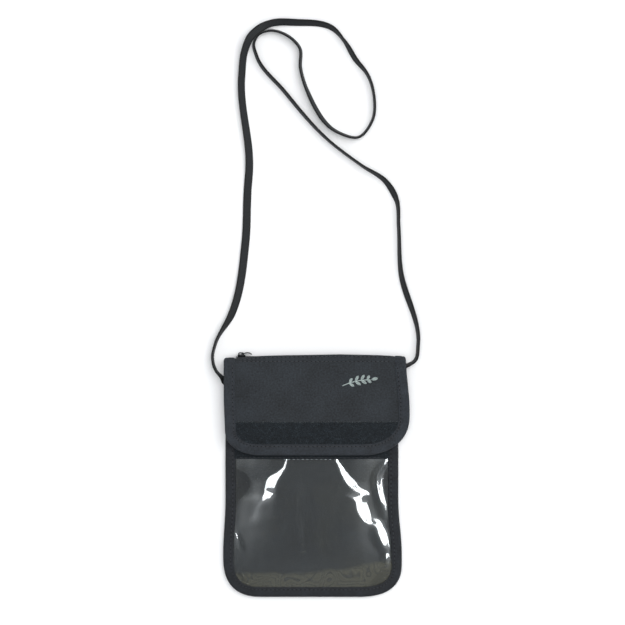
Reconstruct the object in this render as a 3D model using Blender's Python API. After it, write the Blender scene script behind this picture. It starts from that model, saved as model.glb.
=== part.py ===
"""Neck pouch wallet lying on its back, with its flap closed and its neck strap laid out above it.

A zipped rear compartment and a clear front pocket share one centre panel, with tape round their edges.
The flap folds over the top edge, in front of the zip, and closes on a strip above the clear window.

X is across the pouch, Y runs up it towards the zip, and Z is up from the surface it lies on.
All sizes and places are in millimetres. MM turns them into metres as each mesh is made.
"""

import math

import bmesh
import bpy
from mathutils import Vector

MM = 0.001

# The layers, as heights of their lower faces: at the bound edge, and at the crown of the filled pouch.
PANEL_THICKNESS = 0.5
VINYL_THICKNESS = 0.4
REAR_EDGE_Z = 0.9
CENTRE_EDGE_Z = 1.7
CENTRE_CROWN_RISE = 3.2
CENTRE_MOUTH_RISE = 5.2
WINDOW_EDGE_Z = 2.5
WINDOW_CROWN_RISE = 7.3

# The binding tape folded round the pouch's edge.
BINDING_WIDTH = 7.5
BINDING_HEIGHT = 3.8
BINDING_TAPE = 0.6
BINDING_WEB = 1.0
EDGE_INSET = 1.6
SWELL_START = 8.3
SWELL_WIDTH = 24.0
MOUTH_SWELL_WIDTH = 5.0

# The pouch's outline: nearly straight sides that bulge a little near the base, and rounded lower corners.
BODY_BOTTOM_Y = -91.5
BODY_TOP_Y = 86.0
BODY_LEFT_WAIST_X = -67.3
BODY_LEFT_BASE_X = -69.4
BODY_RIGHT_WAIST_X = 61.4
BODY_RIGHT_BASE_X = 64.2
BULGE_START_Y = -20.0
BULGE_END_Y = -60.0
BODY_LEFT_CORNER = (26.0, 29.5)
BODY_RIGHT_CORNER = (31.0, 27.5)
BODY_CORNER_POWER = 2.3
PANEL_TOP_Y = 78.0
WINDOW_TOP_Y = 31.6
BODY_STATIONS = (86.0, 78.0, 68.0, 56.0, 43.0, 31.6, 11.6, -8.0, -20.0, -35.0, -50.0)

# The flap's outline. Its fold is a round nose about the hinge line.
FLAP_BOTTOM_Y = 14.6
FLAP_LEFT_TOP_X = -69.6
FLAP_LEFT_LOW_X = -68.1
FLAP_RIGHT_TOP_X = 66.9
FLAP_RIGHT_LOW_X = 69.6
FLAP_LEFT_CORNER = (27.0, 18.4)
FLAP_RIGHT_CORNER = (35.0, 23.9)
FLAP_CORNER_POWER = 2.2
FLAP_STATIONS = (86.6, 76.0, 66.0, 57.0, 50.0, 44.0)
FLAP_BINDING_WIDTH = 8.3
NOSE_ROWS = (88.95, 88.7, 88.4, 88.0, 87.6, 87.3, 87.0)

# The flap hinge, and heights of the lining's lower face: at the fold, at the side edges and over the window.
HINGE_Y = 88.0
HINGE_Z = 8.9
NOSE_RADIUS = 1.0
FLAP_FOLD_Z = 8.5
FLAP_EDGE_Z = 7.2
FLAP_FALL_Y = (86.0, 30.0)
FLAP_OVER_WINDOW = 2.45
FLAP_EDGE_BLEND = 1.3
LINING_THICKNESS = 0.5
OUTER_OFFSET = (0.85, 1.4)
UNDER_OFFSET = (-1.0, -0.45)
OVER_OFFSET = (1.9, 2.45)

# The hook-and-loop strips and the patch across the flap.
STRIP_Y = (11.6, WINDOW_TOP_Y)
STRIP_OFFSET = (0.7, 1.4)
HOOK_STRIP_Y = (24.0, 37.0)
PATCH_Y = (24.0, 39.6)

# The zip. It faces +Y: its tapes turn up from the two panels, and its tooth rows lie side by side in Z.
ZIP_Z = 3.7
ZIP_LEFT_X = -59.5
ZIP_RIGHT_X = 53.6
TAPE_THICKNESS = 0.5
TAPE_TURN_RADIUS = 1.2
TAPE_START_Y = 78.3
TAPE_PLANE_Y = 87.4
TAPE_EDGE = 2.1
TOOTH_INNER = 0.5
TOOTH_OUTER = 1.8
TOOTH_Y = (86.5, 88.3)
STOP_LENGTH = 0.8

# The slider, with its crown, and the puller hinged under the crown.
SLIDER_X = -55.5
SLIDER_LENGTH = 5.6
SLIDER_HALF_WIDTH = 2.6
SLIDER_FLANGE = 2.1
SLIDER_DIVIDER = 0.2
SLIDER_Y = (85.4, 86.2, 86.8, 88.0, 88.6, 89.4)
CROWN_HALF_WIDTH = 0.8
CROWN_TOP_Y = 91.3
CROWN_UNDER_Y = 90.7
PULLER_PIN_X = -55.9
PULLER_PIN_Y = 90.05
PULLER_THICKNESS = 0.7

# The embroidered emblem on the flap.
EMBLEM_CENTRE = (33.2, 69.7)
EMBLEM_HALF_SIZE = (14.2, 5.0)

# The neck strap, as a round cord of the webbing's width, laid flat from its left end to its right end.
STRAP_WIDTH = 6.0
STRAP_REST_Z = 3.02
STRAP_SAMPLES = 2
STRAP_ROUTE = (
    (-69.9, 72.1, 3.02), (-75.0, 78.0, 3.02), (-77.3, 87.0, 3.02), (-75.2, 97.5, 3.02), (-63.0, 120.0, 3.02),
    (-52.7, 174.0, 3.02), (-51.0, 214.5, 3.02), (-49.9, 228.0, 3.02), (-56.1, 298.5, 3.1), (-54.1, 318.0, 4.6),
    (-49.4, 329.1, 7.2), (-43.4, 334.6, 7.4), (-33.9, 338.3, 5.4), (-14.8, 339.4, 3.1), (13.7, 333.4, 3.02),
    (21.9, 324.0, 3.02), (29.8, 310.9, 3.02), (39.0, 299.2, 3.02), (43.7, 283.5, 3.02), (42.6, 265.5, 3.02),
    (33.8, 253.5, 3.02), (16.7, 257.6, 3.02), (-5.8, 286.1, 3.02), (-11.4, 304.5, 3.02), (-12.4, 318.0, 3.02),
    (-17.8, 325.1, 3.02), (-35.4, 331.0, 3.02), (-42.4, 328.3, 3.02), (-45.8, 322.2, 3.02), (-44.4, 313.5, 3.02),
    (-23.8, 287.2, 3.02), (9.2, 250.5, 3.02), (34.0, 231.6, 3.02), (53.1, 218.6, 3.02), (60.6, 205.5, 3.02),
    (62.2, 186.0, 3.02), (63.6, 153.0, 3.02), (76.8, 96.8, 3.02), (75.0, 85.8, 3.02), (63.0, 79.2, 3.02),
)

# The strap's sewn ends, flat on the pouch's binding: the inner end, the outer end and the width of each.
STRAP_END_Z = (4.1, 4.9)
STRAP_ENDS = {
    "strap_end_left": ((-62.3, 64.2), (-69.6, 71.8)),
    "strap_end_right": ((55.6, 76.5), (62.7, 79.05)),
}
BARTACK_Z = (5.2, 5.6)
BARTACK_SIZE = (1.8, 4.8)

# How finely the panels are divided: distances in from the edge, then fractions of what is left between them.
BODY_RINGS = (EDGE_INSET, SWELL_START, 11.5, 14.5, 18.0)
FLAP_RINGS = (EDGE_INSET, 5.0, 8.9, 12.0)
BODY_COLUMNS = (0.0, 0.08, 0.16, 0.33, 0.5, 0.67, 0.84, 0.92, 1.0)
FLAP_COLUMNS = (0.0, 0.05, 0.1, 0.15, 0.2, 0.25, 0.31, 0.44, 0.56, 0.69, 0.75, 0.8, 0.85, 0.9, 0.95, 1.0)
CORNER_STEPS = 6


def clear_scene():
    for obj in list(bpy.data.objects):
        bpy.data.objects.remove(obj, do_unlink=True)


def material(name, colour, roughness, metallic=0.0, alpha=1.0):
    made = bpy.data.materials.get(name)
    if made is None:
        made = bpy.data.materials.new(name)
        made.use_nodes = True
        shader = made.node_tree.nodes["Principled BSDF"]
        shader.inputs["Base Color"].default_value = (*colour, 1.0)
        shader.inputs["Roughness"].default_value = roughness
        shader.inputs["Metallic"].default_value = metallic
        shader.inputs["Alpha"].default_value = alpha
        made.diffuse_color = (*colour, alpha)
    return made


def add_object(name, data, finish, place=(0.0, 0.0, 0.0)):
    obj = bpy.data.objects.new(name, data)
    obj.location = Vector(place) * MM
    data.materials.append(finish)
    bpy.context.scene.collection.objects.link(obj)
    return obj


def add_mesh(name, points, faces, finish, place=(0.0, 0.0, 0.0)):
    """A closed mesh object from points in the pouch's millimetres, with its origin at place."""
    mesh = bpy.data.meshes.new(name)
    mesh.from_pydata([(Vector(point) - Vector(place)) * MM for point in points], [], faces)
    solid = bmesh.new()
    solid.from_mesh(mesh)
    bmesh.ops.recalc_face_normals(solid, faces=solid.faces)
    solid.to_mesh(mesh)
    solid.free()
    return add_object(name, mesh, finish, place)


# Outlines


def clamp(value):
    return min(max(value, 0.0), 1.0)


def smooth(value):
    value = clamp(value)
    return value * value * (3.0 - 2.0 * value)


def swell(value):
    """How far a panel has risen at a fraction of the way in from its seam: quick at first, then level."""
    return 1.0 - (1.0 - clamp(value)) ** 2


def body_left(y):
    return BODY_LEFT_WAIST_X + (BODY_LEFT_BASE_X - BODY_LEFT_WAIST_X) * bulge(y)


def body_right(y):
    return BODY_RIGHT_WAIST_X + (BODY_RIGHT_BASE_X - BODY_RIGHT_WAIST_X) * bulge(y)


def bulge(y):
    return smooth((BULGE_START_Y - y) / (BULGE_START_Y - BULGE_END_Y))


def flap_left(y):
    return FLAP_LEFT_TOP_X + (FLAP_LEFT_LOW_X - FLAP_LEFT_TOP_X) * smooth((70.0 - y) / 40.0)


def flap_right(y):
    return FLAP_RIGHT_TOP_X + (FLAP_RIGHT_LOW_X - FLAP_RIGHT_TOP_X) * smooth((88.0 - y) / 40.0)


def corner(side_x, bottom_y, radii, power, inward):
    """Points of a rounded corner, from the side down to the bottom edge."""
    points = []
    for step in range(CORNER_STEPS + 1):
        angle = 0.5 * math.pi * step / CORNER_STEPS
        across = math.cos(angle) ** (2.0 / power)
        down = math.sin(angle) ** (2.0 / power)
        points.append((side_x + inward * radii[0] * (1.0 - across), bottom_y + radii[1] * (1.0 - down)))
    return points


def u_outline(stations, left, right, bottom_y, left_radii, right_radii, power, columns):
    """The left side, bottom and right side of a pouch or flap, as three lists of points."""
    left_corner = corner(left(bottom_y + left_radii[1]), bottom_y, left_radii, power, 1.0)
    right_corner = corner(right(bottom_y + right_radii[1]), bottom_y, right_radii, power, -1.0)
    left_side = [(left(y), y) for y in stations] + left_corner
    right_side = [(right(y), y) for y in stations] + right_corner
    start, end = left_side[-1][0], right_side[-1][0]
    bottom = [(start + (end - start) * part, bottom_y) for part in columns[1:-1]]
    return left_side, bottom, right_side


def body_outline(top_y):
    stations = [y for y in BODY_STATIONS if y <= top_y]
    corners = (BODY_LEFT_CORNER, BODY_RIGHT_CORNER, BODY_CORNER_POWER)
    return u_outline(stations, body_left, body_right, BODY_BOTTOM_Y, *corners, BODY_COLUMNS)


def flap_outline(stations):
    corners = (FLAP_LEFT_CORNER, FLAP_RIGHT_CORNER, FLAP_CORNER_POWER)
    return u_outline(stations, flap_left, flap_right, FLAP_BOTTOM_Y, *corners, FLAP_COLUMNS)


def inward_path(outline):
    """The outline as one run of (point, inward direction), level at its two top ends."""
    left_side, bottom, right_side = outline
    points = [Vector(point) for point in left_side + bottom + right_side[::-1]]
    path = []
    for index, point in enumerate(points):
        before = points[max(index - 1, 0)]
        after = points[min(index + 1, len(points) - 1)]
        along = (after - before).normalized()
        path.append((point, Vector((-along.y, along.x))))
    path[0] = (points[0], Vector((1.0, 0.0)))
    path[-1] = (points[-1], Vector((-1.0, 0.0)))
    return path


def edge_distance(x, y, path):
    """How far a place is inside the outline, or 0 outside it."""
    here = Vector((x, y))
    nearest, inside = 1e9, True
    for (start, _), (end, _) in zip(path, path[1:]):
        run = end - start
        part = clamp((here - start).dot(run) / run.length_squared)
        gap = here - (start + run * part)
        if gap.length < nearest:
            nearest = gap.length
            inside = run.x * gap.y - run.y * gap.x > 0.0
    return nearest if inside else 0.0


def inset_side(path, distance, side_x):
    """A side line this far inside an outline, as a function of y. side_x is well outside the outline."""
    def side(y):
        outside, inside = side_x, 0.0
        for _ in range(30):
            middle = 0.5 * (outside + inside)
            if edge_distance(middle, y, path) < distance:
                outside = middle
            else:
                inside = middle
        return inside
    return side


# Heights of the layers


BODY_PATH = inward_path(body_outline(BODY_TOP_Y))


def rear_lower(x, y):
    return REAR_EDGE_Z * (1.0 - smooth((edge_distance(x, y, BODY_PATH) - SWELL_START) / 10.0))


def centre_lower(x, y):
    mouth = smooth((y - 45.0) / (PANEL_TOP_Y - 45.0))
    width = SWELL_WIDTH + (MOUTH_SWELL_WIDTH - SWELL_WIDTH) * mouth
    rise = CENTRE_CROWN_RISE + (CENTRE_MOUTH_RISE - CENTRE_CROWN_RISE) * mouth
    return CENTRE_EDGE_Z + rise * swell((edge_distance(x, y, BODY_PATH) - SWELL_START) / width)


def window_lower(x, y):
    inward = edge_distance(x, y, BODY_PATH) - SWELL_START
    return WINDOW_EDGE_Z + WINDOW_CROWN_RISE * swell(inward / SWELL_WIDTH)


def flap_lower(x, y):
    """The lining's lower face: level along the fold, clear over the window, drooping to the side edges."""
    over = window_lower(x, y) + VINYL_THICKNESS + FLAP_OVER_WINDOW - FLAP_EDGE_Z
    low = FLAP_EDGE_Z + FLAP_EDGE_BLEND * math.log1p(math.exp(over / FLAP_EDGE_BLEND))
    fall = smooth((FLAP_FALL_Y[0] - y) / (FLAP_FALL_Y[0] - FLAP_FALL_Y[1]))
    return FLAP_FOLD_Z + (low - FLAP_FOLD_Z) * fall


def raised(height, offset):
    return lambda x, y: height(x, y) + offset


def outer_lower(x, y):
    if y > HINGE_Y - NOSE_RADIUS:
        return HINGE_Z - math.sqrt(max(NOSE_RADIUS ** 2 - (y - HINGE_Y) ** 2, 0.0))
    return flap_lower(x, y) + OUTER_OFFSET[0]


def outer_upper(x, y):
    if y > HINGE_Y:
        return HINGE_Z + math.sqrt(max(NOSE_RADIUS ** 2 - (y - HINGE_Y) ** 2, 0.0))
    return flap_lower(x, y) + OUTER_OFFSET[1]


# Solids


def u_plan(outline, rings, columns):
    """A flat net over a U-shaped region: rings in from its edge, then rows across the last ring."""
    path = inward_path(outline)
    side = len(outline[0])
    points = [point + inward * distance for distance in rings for point, inward in path]
    count = len(path)
    faces = []
    for ring in range(len(rings) - 1):
        for index in range(count - 1):
            first = ring * count + index
            faces.append((first, first + 1, first + count + 1, first + count))
    last = (len(rings) - 1) * count
    rows = []
    for row in range(side):
        left, right = last + row, last + count - 1 - row
        inner = []
        if row < side - 1:
            for part in columns[1:-1]:
                inner.append(len(points))
                points.append(points[left].lerp(points[right], part))
        else:
            inner = list(range(left + 1, right))
        rows.append([left] + inner + [right])
    for upper, lower in zip(rows, rows[1:]):
        for column in range(len(upper) - 1):
            faces.append((upper[column], lower[column], lower[column + 1], upper[column + 1]))
    return points, faces


def strip_plan(left, right, y_range, columns, rows):
    """A flat net between two side lines, such as a strip of tape across the pouch."""
    points = []
    for row in range(rows + 1):
        y = y_range[1] + (y_range[0] - y_range[1]) * row / rows
        points += [Vector((left(y) + (right(y) - left(y)) * part, y)) for part in columns]
    wide = len(columns)
    faces = []
    for row in range(rows):
        for column in range(wide - 1):
            first = row * wide + column
            faces.append((first, first + wide, first + wide + 1, first + 1))
    return points, faces


def slab(name, plan, lower, upper, finish):
    """A closed sheet over a flat net, between two height functions."""
    points, faces = plan
    count = len(points)
    solid = [(point.x, point.y, lower(point.x, point.y)) for point in points]
    solid += [(point.x, point.y, upper(point.x, point.y)) for point in points]
    return add_mesh(name, solid, close_sheet(faces, count), finish)


def close_sheet(faces, count):
    """Faces of a closed sheet whose lower points come first, then the upper ones in the same order."""
    edges = {}
    for face in faces:
        for start, end in zip(face, face[1:] + face[:1]):
            edges[(start, end)] = True
    solid = [tuple(reversed(face)) for face in faces]
    solid += [tuple(index + count for index in face) for face in faces]
    for start, end in edges:
        if (end, start) not in edges:
            solid.append((start, end, end + count, start + count))
    return solid


def extrude_profile(name, profile, place, span, finish, origin=(0.0, 0.0, 0.0)):
    """A closed profile pushed along one axis. place turns a profile point and a distance into a point."""
    count = len(profile)
    points = [place(point, span[0]) for point in profile] + [place(point, span[1]) for point in profile]
    sides = [(i, (i + 1) % count, (i + 1) % count + count, i + count) for i in range(count)]
    faces = sides + [tuple(range(count))[::-1], tuple(range(count, 2 * count))]
    return add_mesh(name, points, faces, finish, origin)


def channel(name, outline, width, section, finish):
    """Tape folded round an edge: a C-shaped section swept along the outline.

    section lists (distance in from the edge, height function)."""
    path = inward_path(outline)
    points = []
    for point, inward in path:
        for distance, height in section(width):
            place = point + inward * distance
            points.append((place.x, place.y, height(place.x, place.y)))
    corners = len(section(width))
    faces = []
    for index in range(len(path) - 1):
        for corner_index in range(corners):
            first = index * corners + corner_index
            second = index * corners + (corner_index + 1) % corners
            faces.append((first, second, second + corners, first + corners))
    last = (len(path) - 1) * corners
    faces.append(tuple(reversed(range(corners))))
    faces.append(tuple(range(last, last + corners)))
    return add_mesh(name, points, faces, finish)


def body_section(width):
    """The body binding's section, at fixed heights."""
    top = BINDING_HEIGHT
    heights = (
        (0.0, 0.0), (0.0, top), (width, top), (width, top - BINDING_TAPE),
        (BINDING_WEB, top - BINDING_TAPE), (BINDING_WEB, BINDING_TAPE), (width, BINDING_TAPE), (width, 0.0),
    )
    return [(distance, lambda x, y, z=z: z) for distance, z in heights]


def flap_section(width):
    """The flap binding's section, draped with the flap."""
    middle = 0.5 * width
    low, low_inner = UNDER_OFFSET
    high_inner, high = OVER_OFFSET
    offsets = (
        (0.0, low), (0.0, high), (middle, high), (width, high), (width, high_inner), (middle, high_inner),
        (BINDING_WEB, high_inner), (BINDING_WEB, low_inner), (middle, low_inner), (width, low_inner),
        (width, low), (middle, low),
    )
    return [(distance, raised(flap_lower, offset)) for distance, offset in offsets]


# The pouch


def build_panels():
    nylon = material("nylon_shell", (0.035, 0.038, 0.042), 0.75)
    lining = material("nylon_lining", (0.028, 0.030, 0.033), 0.8)
    vinyl = material("clear_vinyl", (0.75, 0.78, 0.78), 0.08, alpha=0.25)
    tape = material("binding_tape", (0.045, 0.048, 0.055), 0.8)
    panel = u_plan(body_outline(PANEL_TOP_Y), BODY_RINGS, BODY_COLUMNS)
    slab("rear_panel", panel, rear_lower, raised(rear_lower, PANEL_THICKNESS), nylon)
    slab("centre_panel", panel, centre_lower, raised(centre_lower, PANEL_THICKNESS), lining)
    window = u_plan(body_outline(WINDOW_TOP_Y), BODY_RINGS, BODY_COLUMNS)
    slab("window", window, window_lower, raised(window_lower, VINYL_THICKNESS), vinyl)
    channel("body_binding", body_outline(BODY_TOP_Y), BINDING_WIDTH, body_section, tape)
    strip = strip_plan(
        lambda y: body_left(y) + SWELL_START + 0.3,
        lambda y: body_right(y) - SWELL_START - 0.3,
        STRIP_Y, (0.0, 0.03, 0.07, 0.12, 0.17, 0.23, 0.36, 0.5, 0.64, 0.77, 0.83, 0.88, 0.93, 0.97, 1.0), 2,
    )
    loop = material("loop_tape", (0.022, 0.026, 0.032), 0.95)
    slab("front_strip", strip, *[raised(window_lower, offset) for offset in STRIP_OFFSET], loop)


def build_flap():
    nylon = material("flap_nylon", (0.030, 0.034, 0.037), 0.75)
    lining = material("nylon_lining", (0.028, 0.030, 0.033), 0.8)
    tape = material("binding_tape", (0.045, 0.048, 0.055), 0.8)
    thread = material("emblem_thread", (0.20, 0.23, 0.22), 0.6)
    hook = material("hook_tape", (0.020, 0.022, 0.025), 0.6)
    loop = material("loop_tape", (0.022, 0.026, 0.032), 0.95)
    outer = u_plan(flap_outline(NOSE_ROWS + FLAP_STATIONS), FLAP_RINGS, FLAP_COLUMNS)
    slab("flap_outer", outer, outer_lower, outer_upper, nylon)
    inner = u_plan(flap_outline(FLAP_STATIONS), FLAP_RINGS, FLAP_COLUMNS)
    slab("flap_lining", inner, flap_lower, raised(flap_lower, LINING_THICKNESS), lining)
    channel("flap_binding", flap_outline(FLAP_STATIONS), FLAP_BINDING_WIDTH, flap_section, tape)
    even = [part / 24.0 for part in range(25)]
    edge = inward_path(flap_outline(FLAP_STATIONS))
    left, right = (inset_side(edge, FLAP_BINDING_WIDTH + 0.4, side_x) for side_x in (-90.0, 90.0))
    hook_strip = strip_plan(left, right, HOOK_STRIP_Y, even, 4)
    slab("flap_hook_strip", hook_strip, *[raised(flap_lower, offset) for offset in UNDER_OFFSET], hook)
    patch = strip_plan(left, right, PATCH_Y, even, 4)
    slab("flap_patch", patch, raised(flap_lower, OVER_OFFSET[0]), raised(flap_lower, OVER_OFFSET[1]), loop)
    seam = strip_plan(lambda y: ZIP_LEFT_X, lambda y: ZIP_RIGHT_X, (74.0, 86.6), (0.0, 0.25, 0.5, 0.75, 1.0), 2)
    slab("flap_seam", seam, lambda x, y: 7.7, lambda x, y: 8.2, nylon)
    slab("flap_emblem", emblem_plan(), *[raised(flap_lower, offset) for offset in OVER_OFFSET], thread)


def emblem_plan():
    """An oval net with a middle point, a ring half way out and its rim."""
    sides = 24
    points = [Vector(EMBLEM_CENTRE)]
    for part in (0.55, 1.0):
        for side in range(sides):
            angle = 2.0 * math.pi * side / sides
            offset = Vector((EMBLEM_HALF_SIZE[0] * math.cos(angle), EMBLEM_HALF_SIZE[1] * math.sin(angle)))
            points.append(Vector(EMBLEM_CENTRE) + offset * part)
    faces = []
    for side in range(sides):
        following = (side + 1) % sides
        faces.append((0, 1 + side, 1 + following))
        faces.append((1 + side, 1 + sides + side, 1 + sides + following, 1 + following))
    return points, faces


# The zip


def tape_profile(side):
    """The zip tape's section in (y, z): flat on its panel, then a round turn to the teeth. side is -1 or 1."""
    flat = ZIP_Z - TAPE_EDGE - 0.15 - TAPE_TURN_RADIUS
    middle = [(TAPE_START_Y, flat)]
    for step in range(5):
        angle = 0.5 * math.pi * step / 4
        y = TAPE_PLANE_Y - TAPE_TURN_RADIUS + TAPE_TURN_RADIUS * math.sin(angle)
        middle.append((y, flat + TAPE_TURN_RADIUS * (1.0 - math.cos(angle))))
    middle.append((TAPE_PLANE_Y, ZIP_Z - TAPE_EDGE))
    path = [Vector(point) for point in middle]
    half = 0.5 * TAPE_THICKNESS
    outer, inner = [], []
    for index, point in enumerate(path):
        along = (path[min(index + 1, len(path) - 1)] - path[max(index - 1, 0)]).normalized()
        if index == 1:
            along = Vector((1.0, 0.0))
        if index == len(path) - 2:
            along = Vector((0.0, 1.0))
        normal = Vector((-along.y, along.x))
        outer.append(point - normal * half)
        inner.append(point + normal * half)
    profile = outer + inner[::-1]
    if side > 0:
        profile = [Vector((point.x, 2.0 * ZIP_Z - point.y)) for point in profile[::-1]]
    return profile


def along_x(point, distance):
    return (distance, point[0], point[1])


def rectangle(y_range, z_range):
    y_low, y_high = y_range
    z_low, z_high = z_range
    return [(y_low, z_low), (y_high, z_low), (y_high, z_high), (y_low, z_high)]


def build_zip():
    tape = material("zip_tape", (0.030, 0.032, 0.036), 0.85)
    teeth = material("zip_teeth", (0.030, 0.031, 0.034), 0.4)
    stop = material("zip_metal", (0.10, 0.10, 0.11), 0.35, metallic=1.0)
    span = (ZIP_LEFT_X, ZIP_RIGHT_X)
    tooth_span = (ZIP_LEFT_X + STOP_LENGTH + 0.4, ZIP_RIGHT_X - STOP_LENGTH - 0.4)
    for side, name in ((-1, "rear"), (1, "front")):
        extrude_profile("zip_tape_" + name, tape_profile(side), along_x, span, tape)
        inner, outer = ZIP_Z + side * TOOTH_INNER, ZIP_Z + side * TOOTH_OUTER
        row = rectangle(TOOTH_Y, (min(inner, outer), max(inner, outer)))
        extrude_profile("zip_teeth_" + name, row, along_x, tooth_span, teeth)
    block = rectangle(TOOTH_Y, (ZIP_Z - TOOTH_OUTER, ZIP_Z + TOOTH_OUTER))
    left_stop = (ZIP_LEFT_X + 0.1, ZIP_LEFT_X + 0.1 + STOP_LENGTH)
    right_stop = (ZIP_RIGHT_X - 0.1 - STOP_LENGTH, ZIP_RIGHT_X - 0.1)
    extrude_profile("zip_stop_left", block, along_x, left_stop, stop)
    extrude_profile("zip_stop_right", block, along_x, right_stop, stop)


def slider_profile():
    """The slider's section in (y, z): two plates with turned-in flanges, joined by the divider."""
    inner_face, inner_top, inner_lip, outer_lip, outer_under, outer_face = SLIDER_Y
    half, flange, divider = SLIDER_HALF_WIDTH, SLIDER_FLANGE, SLIDER_DIVIDER
    upper_side = [
        (outer_face, half), (outer_lip, half), (outer_lip, flange), (outer_under, flange), (outer_under, divider),
        (inner_top, divider), (inner_top, flange), (inner_lip, flange), (inner_lip, half), (inner_face, half),
    ]
    lower_side = [(y, -z) for y, z in reversed(upper_side)]
    return [(y, ZIP_Z + z) for y, z in upper_side + lower_side]


def build_slider():
    metal = material("slider_metal", (0.035, 0.037, 0.040), 0.35, metallic=0.8)
    origin = (SLIDER_X, SLIDER_Y[5], ZIP_Z)
    span = (SLIDER_X - 0.5 * SLIDER_LENGTH, SLIDER_X + 0.5 * SLIDER_LENGTH)
    slider = extrude_profile("zip_slider", slider_profile(), along_x, span, metal, origin)
    base = SLIDER_Y[5] - 0.4
    left, right = SLIDER_X - 2.5, SLIDER_X + 1.6
    profile = [
        (left, base), (left + 0.9, base), (left + 0.9, CROWN_UNDER_Y), (right - 0.9, CROWN_UNDER_Y),
        (right - 0.9, base), (right, base), (right, CROWN_UNDER_Y + 0.1), (right - 0.7, CROWN_TOP_Y),
        (left + 0.7, CROWN_TOP_Y), (left, CROWN_UNDER_Y + 0.1),
    ]
    crown_span = (ZIP_Z - CROWN_HALF_WIDTH, ZIP_Z + CROWN_HALF_WIDTH)
    crown = extrude_profile("crown_guide", profile, lambda p, z: (p[0], p[1], z), crown_span, metal, origin)
    crown.hide_render = True
    crown.display_type = "WIRE"
    union = slider.modifiers.new("crown", "BOOLEAN")
    union.operation = "UNION"
    union.solver = "EXACT"
    union.object = crown


def build_puller():
    """A bent tab whose eye passes round the crown. Its pin lies under the crown, along Z."""
    metal = material("puller_metal", (0.040, 0.042, 0.046), 0.4, metallic=0.6)
    stations = (
        (-0.35, 0.0), (0.35, 0.0), (2.4, 0.45), (3.2, 0.72), (4.2, 0.92), (5.2, 0.95), (6.2, 0.7), (7.2, 0.15),
        (7.9, -0.4),
    )
    across = (-1.9, -1.15, 1.15, 1.9)
    path = [Vector(station) for station in stations]
    half = 0.5 * PULLER_THICKNESS
    lower, upper = [], []
    for index, point in enumerate(path):
        along = (path[min(index + 1, len(path) - 1)] - path[max(index - 1, 0)]).normalized()
        normal = Vector((-along.y, along.x))
        if index < 2:
            normal = Vector((0.0, 1.0))
        for offset in across:
            for side, points in ((-half, lower), (half, upper)):
                place = Vector((PULLER_PIN_X, PULLER_PIN_Y)) + point + normal * side
                points.append((place.x, place.y, ZIP_Z + offset))
    wide = len(across)
    faces = []
    for row in range(len(path) - 1):
        for column in range(wide - 1):
            if row == 1 and column == 1:
                continue
            first = row * wide + column
            faces.append((first, first + 1, first + wide + 1, first + wide))
    origin = (PULLER_PIN_X, PULLER_PIN_Y, ZIP_Z)
    add_mesh("zip_puller", lower + upper, close_sheet(faces, len(lower)), metal, origin)


# The strap


def smooth_route(route, samples):
    """Points of a smooth curve through the route's points. Each slope weighs the nearer neighbour more."""
    points = [Vector(point) for point in route]
    slopes = [(points[1] - points[0]).normalized()]
    for before, here, after in zip(points, points[1:], points[2:]):
        back, ahead = (here - before).length, (after - here).length
        slopes.append(((here - before) * ahead / back + (after - here) * back / ahead) / (back + ahead))
    slopes.append((points[-1] - points[-2]).normalized())
    curve = []
    for index in range(len(points) - 1):
        start, end = points[index], points[index + 1]
        length = (end - start).length
        for sample in range(samples):
            t = sample / samples
            place = start * (2.0 * t ** 3 - 3.0 * t ** 2 + 1.0)
            place += slopes[index] * (length * (t ** 3 - 2.0 * t ** 2 + t))
            place += end * (3.0 * t ** 2 - 2.0 * t ** 3)
            place += slopes[index + 1] * (length * (t ** 3 - t ** 2))
            curve.append(place)
    return curve + [points[-1]]


def build_strap():
    webbing = material("strap_webbing", (0.026, 0.030, 0.034), 0.8)
    thread = material("bartack_thread", (0.04, 0.042, 0.046), 0.7)
    curve = bpy.data.curves.new("neck_strap", "CURVE")
    curve.dimensions = "3D"
    spline = curve.splines.new("POLY")
    route = smooth_route(STRAP_ROUTE, STRAP_SAMPLES)
    spline.points.add(len(route) - 1)
    for point, place in zip(spline.points, route):
        height = max(place.z, STRAP_REST_Z)
        point.co = (place.x * MM, place.y * MM, height * MM, 1.0)
    curve.bevel_depth = 0.5 * STRAP_WIDTH * MM
    curve.bevel_resolution = 2
    curve.use_fill_caps = True
    add_object("neck_strap", curve, webbing)
    for name, (inner, outer) in STRAP_ENDS.items():
        box_between(name, Vector(inner), Vector(outer), STRAP_WIDTH, STRAP_END_Z, webbing)
        along = (Vector(outer) - Vector(inner)).normalized()
        middle = Vector(inner) + along * 3.0
        reach = along * 0.5 * BARTACK_SIZE[0]
        tack = name.replace("strap_end", "bartack")
        box_between(tack, middle - reach, middle + reach, BARTACK_SIZE[1], BARTACK_Z, thread)


def box_between(name, start, end, width, z_range, finish):
    """A flat bar from start to end."""
    along = (end - start).normalized()
    side = Vector((-along.y, along.x)) * 0.5 * width
    ring = [start - side, end - side, end + side, start + side]
    extrude_profile(name, ring, lambda p, z: (p.x, p.y, z), z_range, finish)


def main():
    clear_scene()
    build_panels()
    build_flap()
    build_zip()
    build_slider()
    build_puller()
    build_strap()


main()
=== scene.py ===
"""The looks of the neck pouch wallet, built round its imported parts.

X is across the pouch, Y runs up it towards the zip, and Z is up from the floor. Sizes and places in this
file are in millimetres, and MM turns them into metres as each mesh is made. The outlines are close to those
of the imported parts, and the layers lie in the same order.
"""

import math
import random

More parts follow.
